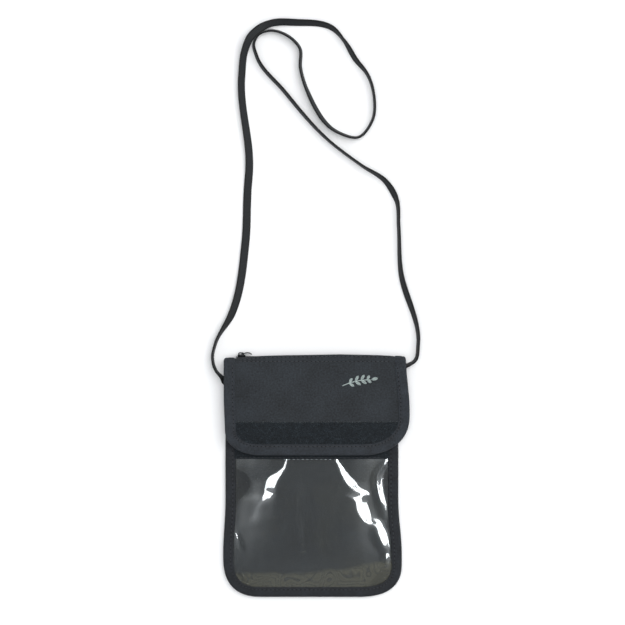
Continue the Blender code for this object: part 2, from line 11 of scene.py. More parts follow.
import bmesh
import bpy
import numpy as np
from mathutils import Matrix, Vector


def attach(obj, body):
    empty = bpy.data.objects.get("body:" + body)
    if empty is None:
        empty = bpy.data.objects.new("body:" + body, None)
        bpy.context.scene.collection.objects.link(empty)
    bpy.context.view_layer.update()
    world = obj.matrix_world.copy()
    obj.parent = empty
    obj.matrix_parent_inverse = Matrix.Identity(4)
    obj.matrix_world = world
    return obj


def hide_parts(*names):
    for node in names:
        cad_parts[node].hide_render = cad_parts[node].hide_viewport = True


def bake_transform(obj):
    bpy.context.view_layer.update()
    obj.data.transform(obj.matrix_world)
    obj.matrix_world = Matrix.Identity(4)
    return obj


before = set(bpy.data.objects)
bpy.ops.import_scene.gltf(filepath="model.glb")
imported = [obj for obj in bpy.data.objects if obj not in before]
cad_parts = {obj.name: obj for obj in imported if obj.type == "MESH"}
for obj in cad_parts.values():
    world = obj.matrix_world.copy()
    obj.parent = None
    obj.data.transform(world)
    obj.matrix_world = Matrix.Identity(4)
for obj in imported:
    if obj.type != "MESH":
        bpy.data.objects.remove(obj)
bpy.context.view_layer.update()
MM = 0.001

# The pouch's outline. Each side's x goes from the first value to the second as it bulges, over BULGE_Y.
BODY_BOTTOM_Y = -92.2
BODY_TOP_Y = 86.0
BODY_LEFT = (-67.7, -69.4)
BODY_RIGHT = (62.0, 64.6)
BULGE_Y = (-20.0, -60.0)
BODY_CORNERS = ((30.0, 31.0), (34.0, 26.0))
BODY_CORNER_POWER = 2.6
PANEL_TOP_Y = 78.0
WINDOW_TOP_Y = 31.6

# The flap's outline and its fold, a round nose about the hinge line. Each side's x goes from the first value
# to the second over the heights of its turn. The fold's sag fades in over FOLD_PULL, from the flap's top up.
FLAP_BOTTOM_Y = 14.6
FLAP_LEFT = (-68.75, -67.75)
FLAP_LEFT_TURN = (60.0, 26.0)
FLAP_RIGHT = (67.4, 70.2)
FLAP_RIGHT_TURN = (88.0, 48.0)
FLAP_CORNERS = ((27.0, 18.4), (35.0, 29.0))
FLAP_CORNER_POWER = 2.2
FLAP_TOP_Y = 84.2
HINGE_Y = 88.0
HINGE_Z = 8.9
FOLD_RADIUS = 0.72
FOLD_PULL = 3.5

# Layer heights, and how far above the flap lining's lower face the flap's other layers lie.
REAR_EDGE_Z = 0.9
CENTRE_EDGE_Z = 1.7
WINDOW_EDGE_Z = 2.8
WINDOW_CROWN = 2.2
SWELL_START = 7.0
FLAP_FOLD_Z = 8.5
FLAP_EDGE_Z = 7.2
FLAP_CLEARANCE = 2.45
FLAP_OUTER_LIFTS = (0.85, 1.4)
FLAP_TOP_LIFT = 1.95
STRIP_LIFTS = (0.75, 1.35)
PATCH_LIFTS = (1.5, 1.95)
HOOK_LIFTS = (-0.85, -0.25)
CLOTH = 0.5
VINYL = 0.4

# The heights up the pouch of the strip on the window and of the strips on and under the flap.
STRIP_Y = (WINDOW_TOP_Y, 11.6)
STRIP_INSET = 7.0
PATCH_Y = (39.4, 23.2)
HOOK_Y = (37.0, 24.0)

# Bindings and stitches. Each binding's stitches are a little way from its inner edge.
BODY_BINDING = 7.5
BODY_STITCH_IN = 1.9
FLAP_BINDING = 8.3
FLAP_STITCH_IN = 1.7
BINDING_STEP = 0.8
EDGE_INSET = 1.2
STITCH_PITCH = 3.2
STITCH_LENGTH = 2.3
STITCH_RADIUS = 0.24
STITCH_STEP = 0.4
HOLE_RADIUS = 0.48

# The zip: its ends, its middle height, the tape's line from its sewn edge to its bend, and the coil.
ZIP_X = (-59.5, 53.6)
ZIP_Z = 3.7
ZIP_TAPE_Y = (78.3, 81.0, 84.0)
ZIP_TAPE_Z = 0.25
ZIP_TAPE_HALF = 0.22
ZIP_BEND_Y = 86.2
ZIP_BEND_RADIUS = 1.2
ZIP_TAPE_GAP = 2.0
COIL_PITCH = 1.16
COIL_RADIUS = 0.27

# The strap: its width, its thickness and the route that its packed tube follows.
STRAP_WIDTH = 6.0
STRAP_THICKNESS = 1.25
TUBE_REST_Z = 3.02
STRAP_ROUTE = (
    (-69.9, 72.1, 3.02), (-75.0, 78.0, 3.02), (-77.3, 87.0, 3.02), (-75.2, 97.5, 3.02),
    (-63.0, 120.0, 3.02), (-52.7, 174.0, 3.02), (-51.0, 214.5, 3.02), (-49.9, 228.0, 3.02),
    (-56.1, 298.5, 3.1), (-54.1, 318.0, 4.6), (-49.4, 329.1, 7.2), (-43.4, 334.6, 7.4),
    (-33.9, 338.3, 5.4), (-14.8, 339.4, 3.1), (13.7, 333.4, 3.02), (21.9, 324.0, 3.02),
    (29.8, 310.9, 3.02), (39.0, 299.2, 3.02), (43.7, 283.5, 3.02), (42.6, 265.5, 3.02),
    (33.8, 253.5, 3.02), (16.7, 257.6, 3.02), (-5.8, 286.1, 3.02), (-11.4, 304.5, 3.02),
    (-12.4, 318.0, 3.02), (-17.8, 325.1, 3.02), (-35.4, 331.0, 3.02), (-42.4, 328.3, 3.02),
    (-45.8, 322.2, 3.02), (-44.4, 313.5, 3.02), (-23.8, 287.2, 3.02), (9.2, 250.5, 3.02),
    (34.0, 231.6, 3.02), (53.1, 218.6, 3.02), (60.6, 205.5, 3.02), (62.2, 186.0, 3.02),
    (63.6, 153.0, 3.02), (76.8, 96.8, 3.02), (75.0, 85.8, 3.02), (63.0, 79.2, 3.02),
)
# How far the webbing is turned on edge along the route, as (route point, degrees from flat).
STRAP_TWIST = (
    (0.0, 60), (0.3, 78), (2.0, 79), (3.3, 77), (3.7, 50), (4.0, 26), (5.0, 4), (6.0, 0), (7.0, 16),
    (7.5, 30), (9.0, 34), (9.7, 20), (10.3, 8), (11.0, 8), (12.0, 34), (13.0, 38), (14.0, 62), (14.8, 80),
    (15.5, 58), (16.0, 60), (16.8, 76), (18.0, 80), (20.0, 76), (21.0, 72), (21.4, 60), (21.7, 60),
    (22.2, 70), (23.5, 75), (24.5, 72), (26.0, 74), (28.0, 76), (29.5, 72), (30.4, 72), (31.0, 80),
    (32.0, 81), (32.7, 66), (33.6, 44), (34.2, 70), (35.0, 74), (36.0, 66), (36.3, 40), (36.8, 74),
    (38.0, 74), (38.6, 72), (38.85, 50), (39.0, 14),
)
# Where the twisted webbing settles away from the route, as route point: (x, y) shift.
STRAP_SETTLED = {
    8: (0.6, 0.0), 9: (1.1, -0.3), 10: (1.2, -1.2), 11: (1.0, -1.4), 12: (0.0, -0.9), 13: (0.0, -0.8),
    20: (-1.6, -0.9), 21: (-0.8, -1.0), 24: (0.3, 1.6), 25: (1.6, -0.3), 26: (-0.6, 1.2), 27: (-0.6, 1.0),
    28: (-0.6, 0.4),
}
# The strap's sewn ends: the inner end, the outer end and the turn at the outer end in degrees.
STRAP_ENDS = {
    "left": ((-62.3, 64.2), (-70.1, 72.35), 60.0),
    "right": ((55.6, 76.5), (62.7, 79.05), 14.0),
}
STRAP_END_Z = 4.5
STRAP_END_THICKNESS = 0.8
STRAP_END_RISE = 16.0
FLOOR_GAP = 0.02
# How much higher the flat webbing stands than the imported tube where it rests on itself.
OVERLAP_RISE = 1.4

EMBLEM_CENTRE = (33.2, 69.7)


# Outlines and heights


def smooth(value):
    """A rise from 0 to 1 that starts and ends level."""
    value = np.clip(value, 0.0, 1.0)
    return value * value * (3.0 - 2.0 * value)


def swell(value):
    """A rise from 0 to 1 that starts steep and ends level."""
    return 1.0 - (1.0 - np.clip(value, 0.0, 1.0)) ** 2


def ramp(value):
    """A straight rise from 0 to 1 with short rounded ends."""
    value = np.clip(value, 0.0, 1.0)
    low, high = np.minimum(value, 0.15), np.maximum(value, 0.85) - 0.85
    middle = np.clip(value - 0.15, 0.0, 0.7)
    return (low ** 2 / 0.3 + middle + high - high ** 2 / 0.3) / 0.85


def between(pair, part):
    """The value that is this share of the way from the first of the pair to the second."""
    return pair[0] + (pair[1] - pair[0]) * part


def corner_shift(y, bottom_y, radii, power):
    """How far a rounded corner takes a side in at height y. Its radii are across and up."""
    down = np.clip((bottom_y + radii[1] - y) / radii[1], 0.0, 1.0)
    return radii[0] * (1.0 - (1.0 - down ** power) ** (1.0 / power))


def turned(pair, turn, y):
    """A side's x at height y. It goes from the first of the pair to the second over the heights of its turn."""
    return between(pair, smooth((turn[0] - y) / (turn[0] - turn[1])))


def body_left(y):
    return turned(BODY_LEFT, BULGE_Y, y) + corner_shift(y, BODY_BOTTOM_Y, BODY_CORNERS[0], BODY_CORNER_POWER)


def body_right(y):
    return turned(BODY_RIGHT, BULGE_Y, y) - corner_shift(y, BODY_BOTTOM_Y, BODY_CORNERS[1], BODY_CORNER_POWER)


def flap_left(y):
    side = turned(FLAP_LEFT, FLAP_LEFT_TURN, y)
    return side + corner_shift(y, FLAP_BOTTOM_Y, FLAP_CORNERS[0], FLAP_CORNER_POWER)


def flap_right(y):
    side = turned(FLAP_RIGHT, FLAP_RIGHT_TURN, y)
    return side - corner_shift(y, FLAP_BOTTOM_Y, FLAP_CORNERS[1], FLAP_CORNER_POWER)


def unit(vectors):
    """The vectors at a length of 1."""
    return vectors / (np.linalg.norm(vectors, axis=-1, keepdims=True) + 1e-12)


def travelled(points):
    """How far each row of points is along the way from the first one."""
    steps = np.linalg.norm(np.diff(points, axis=0), axis=-1)
    return np.concatenate([np.zeros((1, *steps.shape[1:])), np.cumsum(steps, axis=0)])


def side_rows(top_y, bottom_y, corner_height, pitch):
    """Heights down a side: even above the corner, then closer together as the corner turns level."""
    start = bottom_y + corner_height
    straight = np.linspace(top_y, start, max(int((top_y - start) / pitch), 1) + 1)
    angles = np.linspace(0.0, 0.5 * math.pi, int(1.6 * corner_height / pitch) + 2)[1:]
    return np.concatenate([straight, start - corner_height * np.sin(angles)])


def edge_path(left, right, top_y, bottom_y, corner_height, pitch):
    """Evenly spaced points down a left edge, along the bottom and up the right, with inward directions."""
    rows = side_rows(top_y, bottom_y, corner_height, 0.5)
    down = np.stack([left(rows), rows], axis=1)
    up = np.stack([right(rows), rows], axis=1)[::-1]
    line = np.concatenate([down, up])
    along = travelled(line)
    places = np.linspace(0.0, along[-1], int(along[-1] / pitch) + 1)
    points = np.stack([np.interp(places, along, line[:, axis]) for axis in (0, 1)], axis=1)
    run = unit(np.gradient(points, axis=0))
    inward = np.stack([-run[:, 1], run[:, 0]], axis=1)
    return points, inward


def inside(points, line):
    """How far each point is inside an open edge line, or 0 outside it."""
    start, run = line[:-1], np.diff(line, axis=0)
    gap = points[:, None, :] - start[None]
    part = np.clip((gap * run).sum(2) / (run * run).sum(1), 0.0, 1.0)
    gap -= run[None] * part[..., None]
    far = np.linalg.norm(gap, axis=2)
    nearest = far.argmin(1)
    rows = np.arange(len(points))
    cross = run[nearest, 0] * gap[rows, nearest, 1] - run[nearest, 1] * gap[rows, nearest, 0]
    return np.where(cross > 0.0, far[rows, nearest], 0.0)


BODY_LINE = edge_path(body_left, body_right, BODY_TOP_Y, BODY_BOTTOM_Y, BODY_CORNERS[0][1], 4.0)[0]
FLAP_LINE = edge_path(flap_left, flap_right, FLAP_TOP_Y, FLAP_BOTTOM_Y, FLAP_CORNERS[1][1], 3.0)[0]


def ripple(points, size, seed):
    """A slow uneven wave between about -1 and 1, as a few crossed sines."""
    draw = random.Random(seed)
    total = np.zeros(len(points))
    for _ in range(5):
        angle, phase = draw.uniform(0.0, math.pi), draw.uniform(0.0, 6.28)
        scale = draw.uniform(0.7, 1.5) * 2.0 * math.pi / size
        total += np.sin((points[:, 0] * math.cos(angle) + points[:, 1] * math.sin(angle)) * scale + phase)
    return total / 3.2


def smooth_route(route, samples):
    """Points of a smooth curve through a route's points, its slopes leaning to the nearer neighbours.

    Three columns are a place. More are a place in the first two, with values that follow it."""
    points = np.array(route, float)
    place = points if points.shape[1] == 3 else points[:, :2]
    steps = np.linalg.norm(np.diff(place, axis=0), axis=1)
    runs = np.diff(points, axis=0) / steps[:, None]
    back, ahead = steps[:-1, None], steps[1:, None]
    middle = (runs[:-1] * ahead + runs[1:] * back) / (back + ahead)
    slopes = np.concatenate([runs[:1], middle, runs[-1:]])
    t = np.linspace(0.0, 1.0, samples, endpoint=False)[:, None]
    curve = []
    for index, step in enumerate(steps):
        place = points[index] * (2.0 * t ** 3 - 3.0 * t ** 2 + 1.0)
        place = place + slopes[index] * step * (t ** 3 - 2.0 * t ** 2 + t)
        place = place + points[index + 1] * (3.0 * t ** 2 - 2.0 * t ** 3)
        curve.append(place + slopes[index + 1] * step * (t ** 3 - t ** 2))
    return np.concatenate(curve + [points[-1:]])


def rear_height(points):
    return REAR_EDGE_Z * (1.0 - smooth((inside(points, BODY_LINE) - SWELL_START) / 10.0))


def centre_height(points):
    """The lining behind the window: low at the bound edge, and raised towards the zip."""
    depth = inside(points, BODY_LINE)
    mouth = smooth((points[:, 1] - 45.0) / (PANEL_TOP_Y - 45.0))
    width = 24.0 - 19.0 * mouth
    rise = 1.2 + 4.0 * mouth
    return CENTRE_EDGE_Z + rise * swell((depth - SWELL_START) / width)


def route_values(points, route):
    """A route's x and its next two columns at each point's y, and how far x moves for each step in y."""
    line = smooth_route(route, 24)[::-1]
    columns = [line[:, 1], line[:, 2], line[:, 3], np.gradient(line[:, 1], line[:, 0])]
    return [np.interp(points[:, 1], line[:, 0], column) for column in columns]


def crease(points, route, way):
    """A fall across a crease that runs down the window, to its left for way -1 and to its right for way 1."""
    x, width, drop, slant = route_values(points, route)
    outward = way * (points[:, 0] - x) / np.sqrt(1.0 + slant ** 2)
    return drop * ramp(outward / width + 0.5)


def raised(points, route):
    """A rounded fold that stands above the vinyl along the route."""
    x, width, height, _ = route_values(points, route)
    return height * np.exp(-((points[:, 0] - x) / width) ** 2)


def highest(first, second):
    """The higher of two surfaces, rounded off where they meet."""
    rounding = 0.12
    return 0.5 * (first + second + np.sqrt((first - second) ** 2 + rounding))


def bump(points, centre, radii, angle=0.0):
    """A round bump of height 1, long along the given angle in degrees."""
    turn = math.radians(angle)
    x, y = points[:, 0] - centre[0], points[:, 1] - centre[1]
    along = x * math.cos(turn) + y * math.sin(turn)
    across = y * math.cos(turn) - x * math.sin(turn)
    return np.exp(-(along / radii[0]) ** 2 - (across / radii[1]) ** 2)


def tent(depth):
    """A rise from the binding that starts at a gentle slope and levels off."""
    slope, rise = 0.15, 3.0
    return rise * (1.0 - np.exp(-slope * np.maximum(depth, 0.0) / rise))


def window_depth(points):
    """How far each point is inside the binding, with the window's corners softened."""
    softness = 10.0
    x, y = points[:, 0], points[:, 1]
    left, right = turned(BODY_LEFT, BULGE_Y, y), turned(BODY_RIGHT, BULGE_Y, y)
    sides = (x - left, right - x, y - BODY_BOTTOM_Y)
    return -softness * np.log(sum(np.exp(-side / softness) for side in sides)) - SWELL_START


def window_crown(depth):
    """The window's height without its creases and folds."""
    return WINDOW_EDGE_Z + tent(depth) + WINDOW_CROWN * smooth(depth / 30.0)


# The creases in the vinyl, as rows of (y, x, width of the fall, drop).
LEFT_CREASE = (
    (20, -19.6, 2.4, 0.60), (9.5, -22.2, 2.6, 0.68), (5, -23.8, 3.4, 0.88), (0.6, -28.4, 6.2, 1.60),
    (-4, -32.0, 9.4, 2.0), (-10, -33.8, 9.8, 2.0), (-14, -34.2, 10.5, 1.8), (-19, -35.0, 13, 1.2),
    (-26, -36, 22, 0.9), (-90, -37, 40, 0.8),
)
RIGHT_CREASE = (
    (20, 11.6, 2.5, 0.58), (12, 15.2, 2.6, 0.66), (6.5, 18.2, 3.8, 0.92), (0, 22.2, 6.0, 1.45),
    (-6, 26.2, 7.6, 1.80), (-10.5, 29.6, 7.0, 1.7), (-14.5, 31.6, 22, 1.7), (-19, 33.2, 11, 1.6),
    (-25, 34.8, 10.4, 1.6), (-31, 37.2, 8.6, 1.5), (-36.5, 39.4, 7.5, 1.2), (-41, 41, 30, 1.5),
    (-90, 42, 50, 1.6),
)
# Raised folds in the vinyl, as rows of (y, the fold's x, width, height).
SIDE_ROLL = (
    (15, 58.0, 2.6, 0.3), (8, 52.0, 2.6, 0.9), (1, 46.4, 2.8, 1.15), (-7, 45.4, 3.0, 1.2),
    (-14, 46.4, 3.0, 1.1), (-21, 48.2, 3.2, 0.9), (-27, 49.6, 4, 0.4), (-34, 50.5, 5, 0.0),
)
SIDE_POCKET = (
    (-33, 45.4, 4.2, 0.0), (-38, 45.8, 4.2, 0.7), (-44, 46.8, 4.6, 1.0), (-50, 48.6, 4.4, 1.2),
    (-55, 50.4, 3.8, 1.05), (-59, 52.0, 3.4, 0.5), (-64, 53.4, 3.4, 1.15), (-69, 54.6, 3.2, 1.0),
    (-74, 57.4, 3.0, 0.0),
)
RIM_ROLL = (
    (6, 57.6, 1.4, 0.0), (0, 55.8, 1.6, 0.5), (-8, 55.2, 1.7, 0.6), (-16, 55.8, 1.7, 0.55),
    (-24, 57.0, 1.6, 0.0),
)
MIDDLE_LINE = (
    (6, -14.5, 1.3, 0.0), (-2, -12.4, 1.2, 0.14), (-12, -10.8, 1.2, 0.2), (-22, -12.6, 1.2, 0.18),
    (-32, -13.0, 1.2, 0.2), (-42, -10.8, 1.2, 0.22), (-52, -10.4, 1.3, 0.18), (-60, -8.4, 1.5, 0.2),
    (-66, -5.6, 1.8, 0.0),
)
# Small bumps in the vinyl, as (height, centre, radii, angle).
UPPER_BUMPS = ((0.20, (1.0, -1.0), (3.4, 1.5), -8.0), (0.16, (-8.4, 5.5), (2.6, 1.3), 55.0))
LEFT_BUMP = (0.75, (-57.6, -50.6), (7.0, 2.1), 114.0)


def window_height(points):
    """The vinyl's lower face: a low crown with its creases, folds and bumps, kept clear of the lining."""
    depth = window_depth(points)
    near = smooth(depth / 4.0)
    z = window_crown(depth)
    z -= crease(points, LEFT_CREASE, -1.0) + crease(points, RIGHT_CREASE, 1.0)
    z += sum(height * bump(points, *place) for height, *place in UPPER_BUMPS)
    z = highest(z, centre_height(points) + 0.4)
    z += near * sum(raised(points, route) for route in (SIDE_ROLL, SIDE_POCKET, RIM_ROLL))
    z += raised(points, MIDDLE_LINE) + 0.05 * near * ripple(points, 15.0, 5)
    return z + LEFT_BUMP[0] * near * bump(points, *LEFT_BUMP[1:])


def strip_height(points):
    """What the strip on the window's top edge rests on: the window without its creases."""
    return window_crown(window_depth(points))


def flap_height(points):
    """The flap lining's lower face: level along the fold, clear over the window, drooping to the edges."""
    depth = inside(points, BODY_LINE)
    window = 2.5 + 6.1 * swell((depth - 8.3) / 24.0)
    over = window + VINYL + FLAP_CLEARANCE - FLAP_EDGE_Z
    bend = 1.3
    low = FLAP_EDGE_Z + bend * np.log1p(np.exp(over / bend))
    fall = smooth((86.0 - points[:, 1]) / 56.0)
    z = FLAP_FOLD_Z + (low - FLAP_FOLD_Z) * fall
    calm = smooth((inside(points, FLAP_LINE) - 4.0) / 14.0) * smooth((82.0 - points[:, 1]) / 16.0)
    return z + calm * (0.26 * ripple(points, 46.0, 11) + 0.08 * ripple(points, 17.0, 12))


# How far the fold's edge sags (below zero) or lifts along X, as (x, shift).
FOLD_SAG = (
    (-66, -2.0), (-60, -2.1), (-50, -1.6), (-44, -0.5), (-35, -0.1), (-22, 0.2), (0, 0.55), (19, 0.9),
    (37, 0.5), (46, 0.3), (55, -0.1), (60, -0.7), (66, -1.0),
)


def fold_shift(x):
    """How far the fold's edge is from a straight line along X, with its two rounded ends."""
    sag = np.interp(x, [row[0] for row in FOLD_SAG], [row[1] for row in FOLD_SAG])
    left, right = FLAP_LEFT[0], FLAP_RIGHT[0]
    edge = np.clip(1.0 - np.minimum(x - left, right - x) / 2.6, 0.0, 1.0)
    return sag - 2.2 * (1.0 - np.sqrt(1.0 - edge ** 2))


# Meshes


SHARP_ANGLE = math.radians(50.0)


def placed(name, data):
    """A new object in the scene."""
    obj = bpy.data.objects.new(name, data)
    bpy.context.scene.collection.objects.link(obj)
    return obj


def finish_mesh(name, points, faces, finish, uvs=None):
    """A mesh object with its faces turned out, smooth shading and, if given, UVs in millimetres."""
    mesh = bpy.data.meshes.new(name)
    mesh.from_pydata((np.asarray(points, float) * MM).tolist(), [], faces)
    if uvs is not None:
        layer = mesh.uv_layers.new(name="cloth")
        layer.data.foreach_set("uv", np.asarray(uvs, np.float32).ravel())
    solid = bmesh.new()
    solid.from_mesh(mesh)
    bmesh.ops.recalc_face_normals(solid, faces=solid.faces)
    solid.to_mesh(mesh)
    solid.free()
    mesh.shade_smooth()
    mesh.set_sharp_from_angle(angle=SHARP_ANGLE)
    mesh.materials.append(finish)
    return placed(name, mesh)


def shell(name, lower, upper, finish):
    """A closed sheet between two grids of points, each rows by columns by 3."""
    rows, columns = lower.shape[:2]
    index = np.arange(rows * columns).reshape(rows, columns)
    cells = np.stack([index[:-1, :-1], index[1:, :-1], index[1:, 1:], index[:-1, 1:]], axis=-1).reshape(-1, 4)
    top = cells + rows * columns
    rim = np.concatenate([index[0, :], index[1:, -1], index[-1, -2::-1], index[-2:0:-1, 0]])
    following = np.roll(rim, -1)
    sides = np.stack([rim, following, following + rows * columns, rim + rows * columns], axis=1)
    faces = np.concatenate([cells, top, sides])
    place = np.stack([upper[..., 0], travelled(upper)], axis=-1).reshape(-1, 2)
    place = np.concatenate([place, place])
    points = np.concatenate([lower.reshape(-1, 3), upper.reshape(-1, 3)])
    return finish_mesh(name, points, faces.tolist(), finish, place[faces.ravel()])


def draped(name, rows, left, right, columns, low, high, finish):
    """A closed sheet over rows of y between two side lines. low and high turn places into heights."""
    part = np.linspace(0.0, 1.0, columns)
    x = left(rows)[:, None] * (1.0 - part) + right(rows)[:, None] * part
    places = np.stack([x, np.repeat(rows[:, None], columns, axis=1)], axis=-1)
    flat = places.reshape(-1, 2)
    grids = [
        np.concatenate([places, height(flat).reshape(x.shape)[..., None]], axis=-1) for height in (low, high)
    ]
    return shell(name, *grids, finish)


def ring_faces(index):
    """The faces of a closed tube whose points are numbered in rows of rings: its sides, then its two ends."""
    following = np.roll(index, -1, axis=1)
    cells = np.stack([index[:-1], following[:-1], following[1:], index[1:]], axis=-1).reshape(-1, 4)
    return cells.tolist() + [index[0, ::-1].tolist(), index[-1].tolist()]


def tube(name, rings, finish, across=None):
    """A closed tube through rings of points. Its UVs are the way along it and across gives the way round."""
    rings = np.asarray(rings, float)
    count, around = rings.shape[:2]
    along = travelled(rings.mean(1))
    if across is None:
        sides = np.linalg.norm(np.roll(rings[0], -1, axis=0) - rings[0], axis=1)
        across = np.concatenate([[0.0], np.cumsum(sides)])
    else:
        across = np.append(across, across[0])
    u = np.stack([along[:-1], along[:-1], along[1:], along[1:]], axis=-1)[:, None, :].repeat(around, axis=1)
    v = np.stack([across[:-1], across[1:], across[1:], across[:-1]], axis=-1)[None].repeat(count - 1, axis=0)
    uvs = np.stack([u, v], axis=-1).reshape(-1, 2)
    uvs = np.concatenate([uvs, np.zeros((2 * around, 2))])
    faces = ring_faces(np.arange(count * around).reshape(count, around))
    return finish_mesh(name, rings.reshape(-1, 3), faces, finish, uvs)


def threads(name, lines, radius, finish, sides=6, tips=0.35):
    """Many short round threads as one mesh. Each line is a few points, and tips is how its ends narrow."""
    points, faces, start = [], [], 0
    turn = np.arange(sides)[None, :, None] * 2.0 * math.pi / sides
    for line in lines:
        line = np.asarray(line, float)
        ahead = unit(np.gradient(line, axis=0))
        guide = np.array((0.0, 0.0, 1.0)) if abs(ahead[0][2]) < 0.8 else np.array((1.0, 0.0, 0.0))
        side = unit(np.cross(ahead, guide))
        rise = np.cross(side, ahead)
        reach = np.full(len(line), radius)
        reach[[0, -1]] *= tips
        ring = side[:, None] * np.cos(turn) + rise[:, None] * np.sin(turn)
        points.append((line[:, None] + ring * reach[:, None, None]).reshape(-1, 3))
        faces += ring_faces(start + np.arange(len(line) * sides).reshape(-1, sides))
        start += len(line) * sides
    return finish_mesh(name, np.concatenate(points), faces, finish)


# Materials


def fill(tree, node, inputs):
    """Sets each input of a node, by its name or number, to a value or to a socket."""
    for key, value in inputs.items():
        if isinstance(value, bpy.types.NodeSocket):
            tree.links.new(value, node.inputs[key])
        else:
            node.inputs[key].default_value = value


def new_node(tree, kind, inputs):
    """The first output of a new shader node with its inputs filled."""
    node = tree.nodes.new("ShaderNode" + kind)
    fill(tree, node, inputs)
    return node.outputs[0]


def new_material(name, colour, roughness, metallic=0.0, sheen=0.0):
    made = bpy.data.materials.new(name)
    made.use_nodes = True
    shader = made.node_tree.nodes["Principled BSDF"]
    fill(made.node_tree, shader, {
        "Base Color": (*colour, 1.0), "Roughness": roughness, "Metallic": metallic, "Sheen Weight": sheen,
        "Sheen Roughness": 0.5, "Specular IOR Level": 0.25,
    })
    return made, made.node_tree, shader


def maths(tree, operation, *values):
    """A Math node. Each value is a number or a socket."""
    node = tree.nodes.new("ShaderNodeMath")
    node.operation = operation
    fill(tree, node, dict(enumerate(values)))
    return node.outputs[0]


def split_axes(tree, vector):
    """A vector's three coordinates."""
    node = tree.nodes.new("ShaderNodeSeparateXYZ")
    tree.links.new(vector, node.inputs[0])
    return node.outputs


def cloth_place(tree):
    """The UV map in millimetres, and its two coordinates."""
    node = tree.nodes.new("ShaderNodeUVMap")
    node.uv_map = "cloth"
    axes = split_axes(tree, node.outputs[0])
    return node.outputs[0], axes[0], axes[1]


def own_place(tree):
    """The place in the object's own metres."""
    return tree.nodes.new("ShaderNodeTexCoord").outputs["Object"]


def noise(tree, vector, scale, detail=2.0):
    return new_node(tree, "TexNoise", {"Scale": scale, "Detail": detail, "Vector": vector})


def wave(tree, value, pitch):
    """A sine of one cycle for each pitch."""
    return maths(tree, "SINE", maths(tree, "MULTIPLY", value, 2.0 * math.pi / pitch))


def stretched(tree, value, low, high, first, last):
    """The value's range from low to high, mapped to first to last and held beyond it."""
    settings = {"Value": value, "From Min": low, "From Max": high, "To Min": first, "To Max": last}
    return new_node(tree, "MapRange", settings)


def shade(tree, shader, colour, level, low, high):
    """The base colour, multiplied from low to high as level goes from 0.3 to 0.7."""
    mix = tree.nodes.new("ShaderNodeVectorMath")
    mix.operation = "SCALE"
    fill(tree, mix, {0: colour, "Scale": stretched(tree, level, 0.3, 0.7, low, high)})
    tree.links.new(mix.outputs[0], shader.inputs["Base Color"])


def relief(tree, shader, height, depth, strength=0.6):
    """A bump from a height of about 0 to 1, depth millimetres deep."""
    bumps = new_node(tree, "Bump", {"Strength": strength, "Distance": depth * MM, "Height": height})
    tree.links.new(bumps, shader.inputs["Normal"])


def woven(name, colour, pitch=0.55, roughness=0.78):
    """Plain-weave nylon: warp and weft bumps, with uneven yarns and a faint mottle."""
    made, tree, shader = new_material(name, colour, roughness, sheen=0.08)
    place, u, v = cloth_place(tree)
    weave = maths(tree, "MULTIPLY", wave(tree, u, 2.0 * pitch), wave(tree, v, 2.0 * pitch))
    relief(tree, shader, maths(tree, "MULTIPLY_ADD", weave, 0.35, noise(tree, place, 1.4)), 0.22)
    yarns = maths(tree, "MULTIPLY", noise(tree, place, 0.75), 0.6)
    shade(tree, shader, colour, maths(tree, "MULTIPLY_ADD", noise(tree, place, 0.045), 0.4, yarns), 0.3, 1.7)
    return made


def ribbed(name, colour, pitch=0.75):
    """Ribbed tape: fine cross ribs and a soft, slightly worn colour."""
    made, tree, shader = new_material(name, colour, 0.8, sheen=0.08)
    place, u, _ = cloth_place(tree)
    ribs = maths(tree, "MULTIPLY_ADD", wave(tree, u, pitch), 0.5, 0.5)
    relief(tree, shader, maths(tree, "MULTIPLY_ADD", noise(tree, place, 1.9), 0.7, ribs), 0.16)
    wear = maths(tree, "MULTIPLY", noise(tree, place, 0.75), 0.6)
    shade(tree, shader, colour, maths(tree, "MULTIPLY_ADD", noise(tree, place, 0.12), 0.4, wear), 0.4, 1.6)
    return made


def webbing(name, colour):
    """Strap webbing: a ladder of cross ribs down the middle between two smooth dark edges. Its colour is
    painted lighter on the rib crests and darker between them, a painted shade.
    """
    made, tree, shader = new_material(name, colour, 0.72, sheen=0.05)
    place, u, v = cloth_place(tree)
    middle = stretched(tree, maths(tree, "ABSOLUTE", v), 2.3, 1.5, 0.0, 1.0)
    ribs = maths(tree, "MULTIPLY_ADD", wave(tree, u, 1.05), 0.5, 0.5)
    height = maths(tree, "MULTIPLY", ribs, middle)
    grain = noise(tree, place, 1.6)
    relief(tree, shader, maths(tree, "MULTIPLY_ADD", grain, 0.4, height), 0.25)
    # Painted shade: the colour follows the ribs' bumps, lighter on the crests and darker between them.
    level = maths(tree, "MULTIPLY", middle, maths(tree, "MULTIPLY_ADD", ribs, 0.75, 0.25))
    shade(tree, shader, colour, maths(tree, "MULTIPLY_ADD", grain, 0.25, level), 0.5, 1.7)
    return made


def fuzzy(name, colour):
    """The backing of the loop tape: dark, matt and speckled."""
    made, tree, shader = new_material(name, colour, 0.95, sheen=0.05)
    speck = noise(tree, cloth_place(tree)[0], 1.1, 3.0)
    relief(tree, shader, speck, 0.5, 1.0)
    shade(tree, shader, colour, speck, 0.1, 2.0)
    return made


def spun(name, colour, roughness=0.6, low=0.75, high=1.25, scale=900.0):
    """Thread: a soft sheen and an uneven colour along it."""
    made, tree, shader = new_material(name, colour, roughness, sheen=0.05)
    grain = noise(tree, own_place(tree), scale)
    shade(tree, shader, colour, grain, low, high)
    relief(tree, shader, grain, 0.08)
    return made


